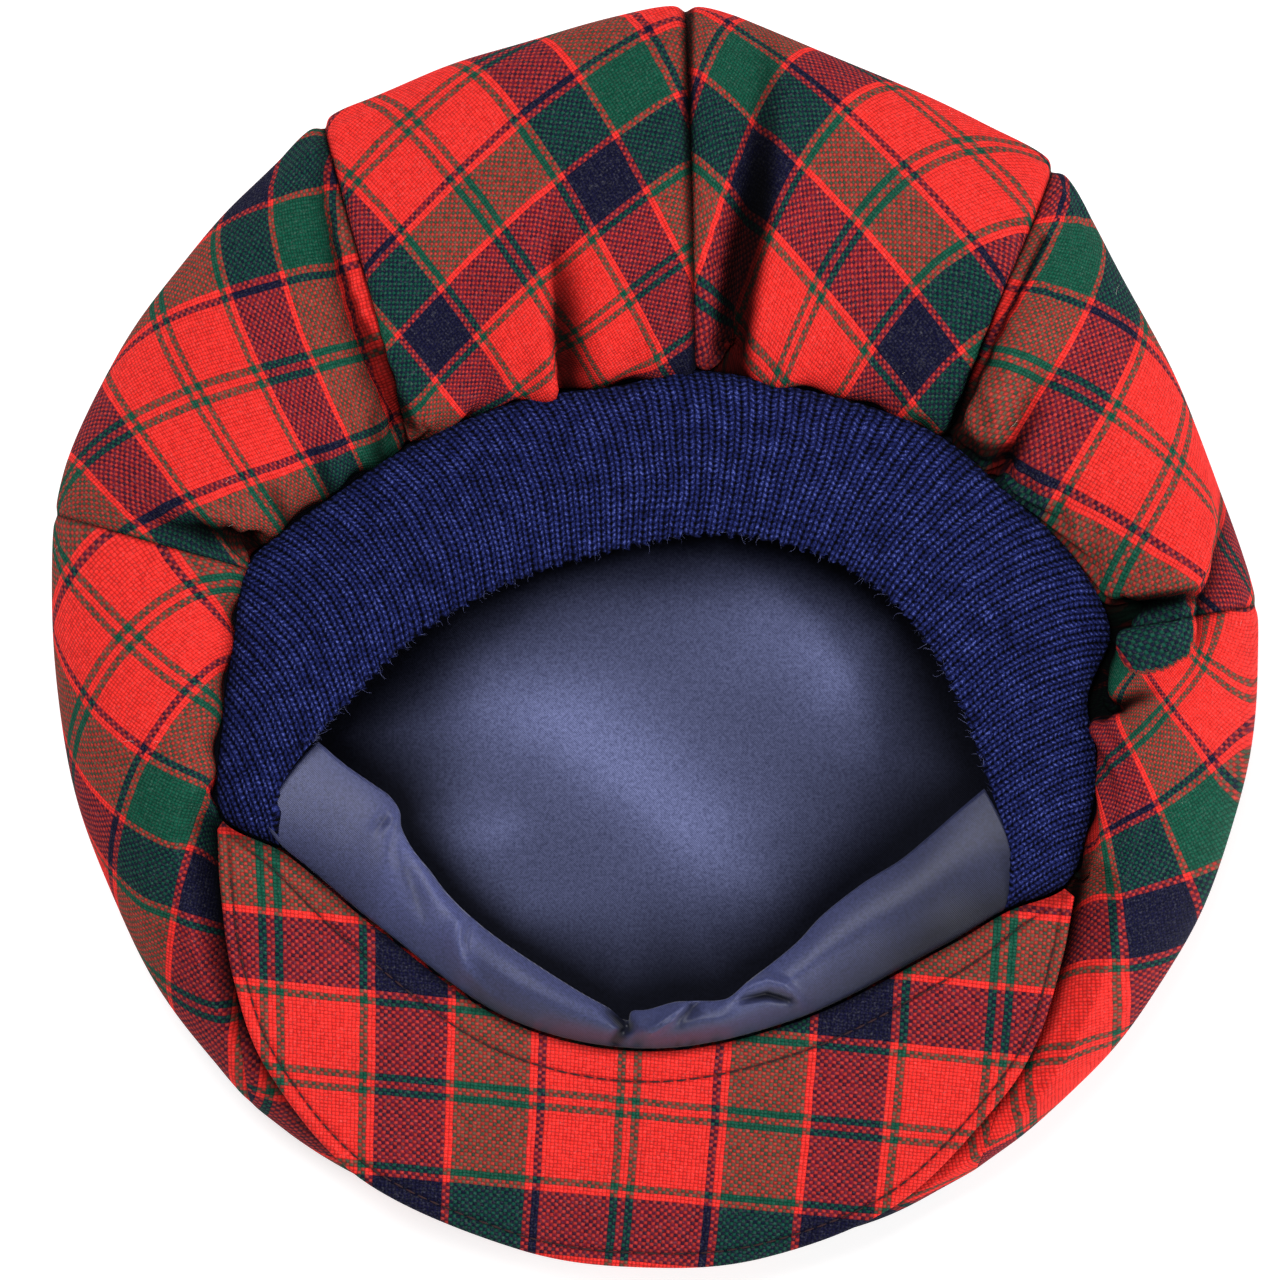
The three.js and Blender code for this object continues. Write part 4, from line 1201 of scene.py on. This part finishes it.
def makePeak():
    u = np.linspace(0, 1, peak["columns"] + 1)
    foot = neckPoint(peak["from"] + (peak["to"] - peak["from"]) * u, 0.2)[..., :2]
    rim = alongTable(peak["edge"], u * (len(peak["edge"]) - 1))
    out = rim - foot
    width = np.linalg.norm(out, axis=-1, keepdims=True)
    out = out / np.maximum(width, 1e-6)
    radius = np.minimum(peak["edgeRadius"], width * 0.3)
    thickness = peak["thickness"]
    bow = peak["innerStitch"] * (1 - (2 * u - 1) ** 4)
    footWidth = 1.2 + 3 * (2 * u - 1) ** 8      # of the shade along the facing, wider at both corners
    rows, shades = [], []
    # the seen side from the outer edge to the neck, then back along the hidden side and round the edge
    for share in np.linspace(1, 0, peak["rows"] + 1):
        plan = foot + out * ((width - radius) * share)
        height = peakHeight(plan[:, 0], plan[:, 1])
        fromEdge = np.linalg.norm(rim - plan, axis=-1)
        fromFoot = np.linalg.norm(plan - foot, axis=-1)
        shade = peak["footShade"] * np.exp(-(fromFoot / footWidth) ** 2)
        for away in (fromEdge - peak["edgeStitch"], fromFoot - bow):
            height = height - peak["stitchGroove"] * np.exp(-(away / 0.9) ** 2)
            shade = np.maximum(shade, peak["stitchShade"] * np.exp(-(away / 0.45) ** 2))
        rows.append(np.column_stack([plan, height]))
        shades.append(shade)
    for share in np.linspace(0, 1, 13):
        plan = foot + out * ((width - radius) * share)
        rows.append(np.column_stack([plan, peakHeight(plan[:, 0], plan[:, 1]) - thickness]))
    for angle in np.linspace(-80, 80, 9):
        turn = math.radians(angle)
        plan = foot + out * ((width - radius) + radius * math.cos(turn))
        height = peakHeight(plan[:, 0], plan[:, 1]) - thickness / 2 + math.sin(turn) * thickness / 2
        rows.append(np.column_stack([plan, height]))
    points = np.array(rows + rows[:1])
    gloom = np.zeros(points.shape[:2])
    gloom[:len(shades)] = shades
    gloom[-1] = gloom[0]
    x, y = points[..., 0] / 50, (points[..., 1] + 100) / 50
    chart = np.stack([bentPlane(x, y, row) for row in peak["lie"]], -1)
    piece = layCloth("peakCloth", points, chart, gloom)
    mergeEdges(piece, closeEnds=True)
    finishPiece(piece, tartanWool, "peak")
    # the lines of its two rows of stitches, where it is wide enough for them
    keep = width[:, 0] > 14
    return (rim - out * peak["edgeStitch"])[keep], (foot + out * bow[:, None])[keep]


def makeStitches(lines):
    # one stitch, copied along both lines
    clearSelection()
    bpy.ops.mesh.primitive_uv_sphere_add(segments=6, ring_count=5, radius=0.001, location=(0, 0, 0))
    model = bpy.context.object
    model.data.transform(mathutils.Matrix.Diagonal((*peak["stitch"], 1)))
    bpy.ops.object.shade_smooth()
    frames = []
    for line in lines:
        run = runAlong(line, 0)
        starts = np.arange(1.5, run[-1] - 1.5, peak["stitchPitch"])
        ends = []
        for places in (starts, starts + 0.5):
            x, y = np.interp(places, run, line[:, 0]), np.interp(places, run, line[:, 1])
            ends.append(np.stack([x, y, peakHeight(x, y) + peak["stitchLift"] - peak["stitchGroove"]], -1))
        for here, there in zip(*ends):
            frames.append(standing(here, there - here, np.array([0, 0.1, 1.0])))
    piece = joinCopies(model, frames, "peakStitches")
    finishPiece(piece, darkThread, None)


makeStitches(makePeak())
print("peak covered and stitched")


# Stray fibres

fibres = {
    "seed": 12,
    "edge": 170,            # how many stand at the band's free edge
    "lint": 36,             # and how many lie on the crown
    "thickness": 0.06,
    "length": 2.4,
    "curls": (0.5, -1.1),
}


def makeFibre(curl):
    # a thin three-sided hair, bent along its way
    along = np.linspace(0, 1, 6)
    spine = np.stack([along * fibres["length"], curl * np.sin(along * 2.4), curl * 0.7 * along ** 2], -1)
    ring = np.array([(0, math.cos(a), math.sin(a)) for a in (0, 2 * math.pi / 3, 4 * math.pi / 3, 0)])
    thin = fibres["thickness"] / 2 * (1 - 0.6 * along)
    points = spine[:, None, :] + ring[None] * thin[:, None, None]
    piece = layCloth("fibre", points)
    mergeEdges(piece, 0.000002)
    return piece


def scatterFibres(chance, places, normals, directions, name, material):
    # two hairs of different curl in turn, leaning and turned by chance
    for half, curl in enumerate(fibres["curls"]):
        frames = []
        for place, normal, direction in list(zip(places, normals, directions))[half::2]:
            lean = direction + normal * chance.uniform(0.1, 0.9) + chance.normal(0, 0.35, 3)
            frames.append(standing(place, lean, chance.normal(0, 1, 3), chance.uniform(0.35, 1.15)))
        piece = joinCopies(makeFibre(curl), frames, name + ("One", "Two")[half])
        finishPiece(piece, material, None)


def makeFibres():
    chance = np.random.default_rng(fibres["seed"])
    picks = chance.integers(0, len(bandEdge), fibres["edge"])
    scatterFibres(chance, bandEdge[picks], bandUp[picks], bandOut[picks], "edgeFibre", paleFibre)
    turns = chance.uniform(0, 8, fibres["lint"])
    courses = chance.uniform(2.2, 3.5, fibres["lint"])
    places = foldedPlace(turns, courses)
    normals = outwardNormals(foldedPlace, turns, courses)
    around = np.stack([-normals[:, 1], normals[:, 0], 0 * turns], -1) + 0.01
    lift = normals * 0.3    # lint lies flatter than the fibres at the band's edge stand
    scatterFibres(chance, places + lift, lift, around, "lint", lintFibre)


makeFibres()
print("fibres scattered")


# Studio and camera

studio = {
    "floor": tint("#d0d0d0"),
    "floorSize": 6,
    "floorHeight": -0.0004,     # a little below the cap, so that their faces never mix
    "floorGlow": 0.62,
    "world": 0.33,
    "aim": (0, 0, 0.04),
    # place, size and power of both lights
    "key": ((-0.25, 0.5, 1.6), 0.7, 23.5),
    "fill": ((1.3, -0.4, 0.6), 0.8, 15.0),
}

camera = {
    "place": (-0.00349, -0.0007, 2.2),
    "lens": 261.8,
    "sensor": 36.0,
}


def makeStudio():
    clearSelection()
    bpy.ops.mesh.primitive_plane_add(size=studio["floorSize"], location=(0, 0, studio["floorHeight"]))
    floor = bpy.context.object
    floor.name = "floor"
    paint = Paint("paleFloor", {"Roughness": 0.9, "Base Color": studio["floor"],
                                "Emission Color": (1, 1, 1, 1), "Emission Strength": studio["floorGlow"]})
    floor.data.materials.append(paint.material)
    world = bpy.data.worlds.new("softWhite")
    world.use_nodes = True
    world.node_tree.nodes["Background"].inputs[0].default_value = (1, 1, 1, 1)
    world.node_tree.nodes["Background"].inputs[1].default_value = studio["world"]
    bpy.context.scene.world = world
    for name in ("key", "fill"):
        place, size, power = studio[name]
        bpy.ops.object.light_add(type="AREA", location=place)
        light = bpy.context.object
        light.name = name
        light.data.size = size
        light.data.energy = power
        away = np.array(place) - studio["aim"]
        light.rotation_euler = (math.atan2(math.hypot(away[0], away[1]), away[2]), 0,
                                math.atan2(away[1], away[0]) + math.pi / 2)
    bpy.ops.object.camera_add(location=camera["place"], rotation=(0, 0, 0))
    view = bpy.context.object
    view.data.lens = camera["lens"]
    view.data.sensor_width = camera["sensor"]
    view.data.clip_end = 20
    bpy.context.scene.camera = view
    bpy.context.scene.view_settings.view_transform = "Standard"


makeStudio()
print("studio lit")
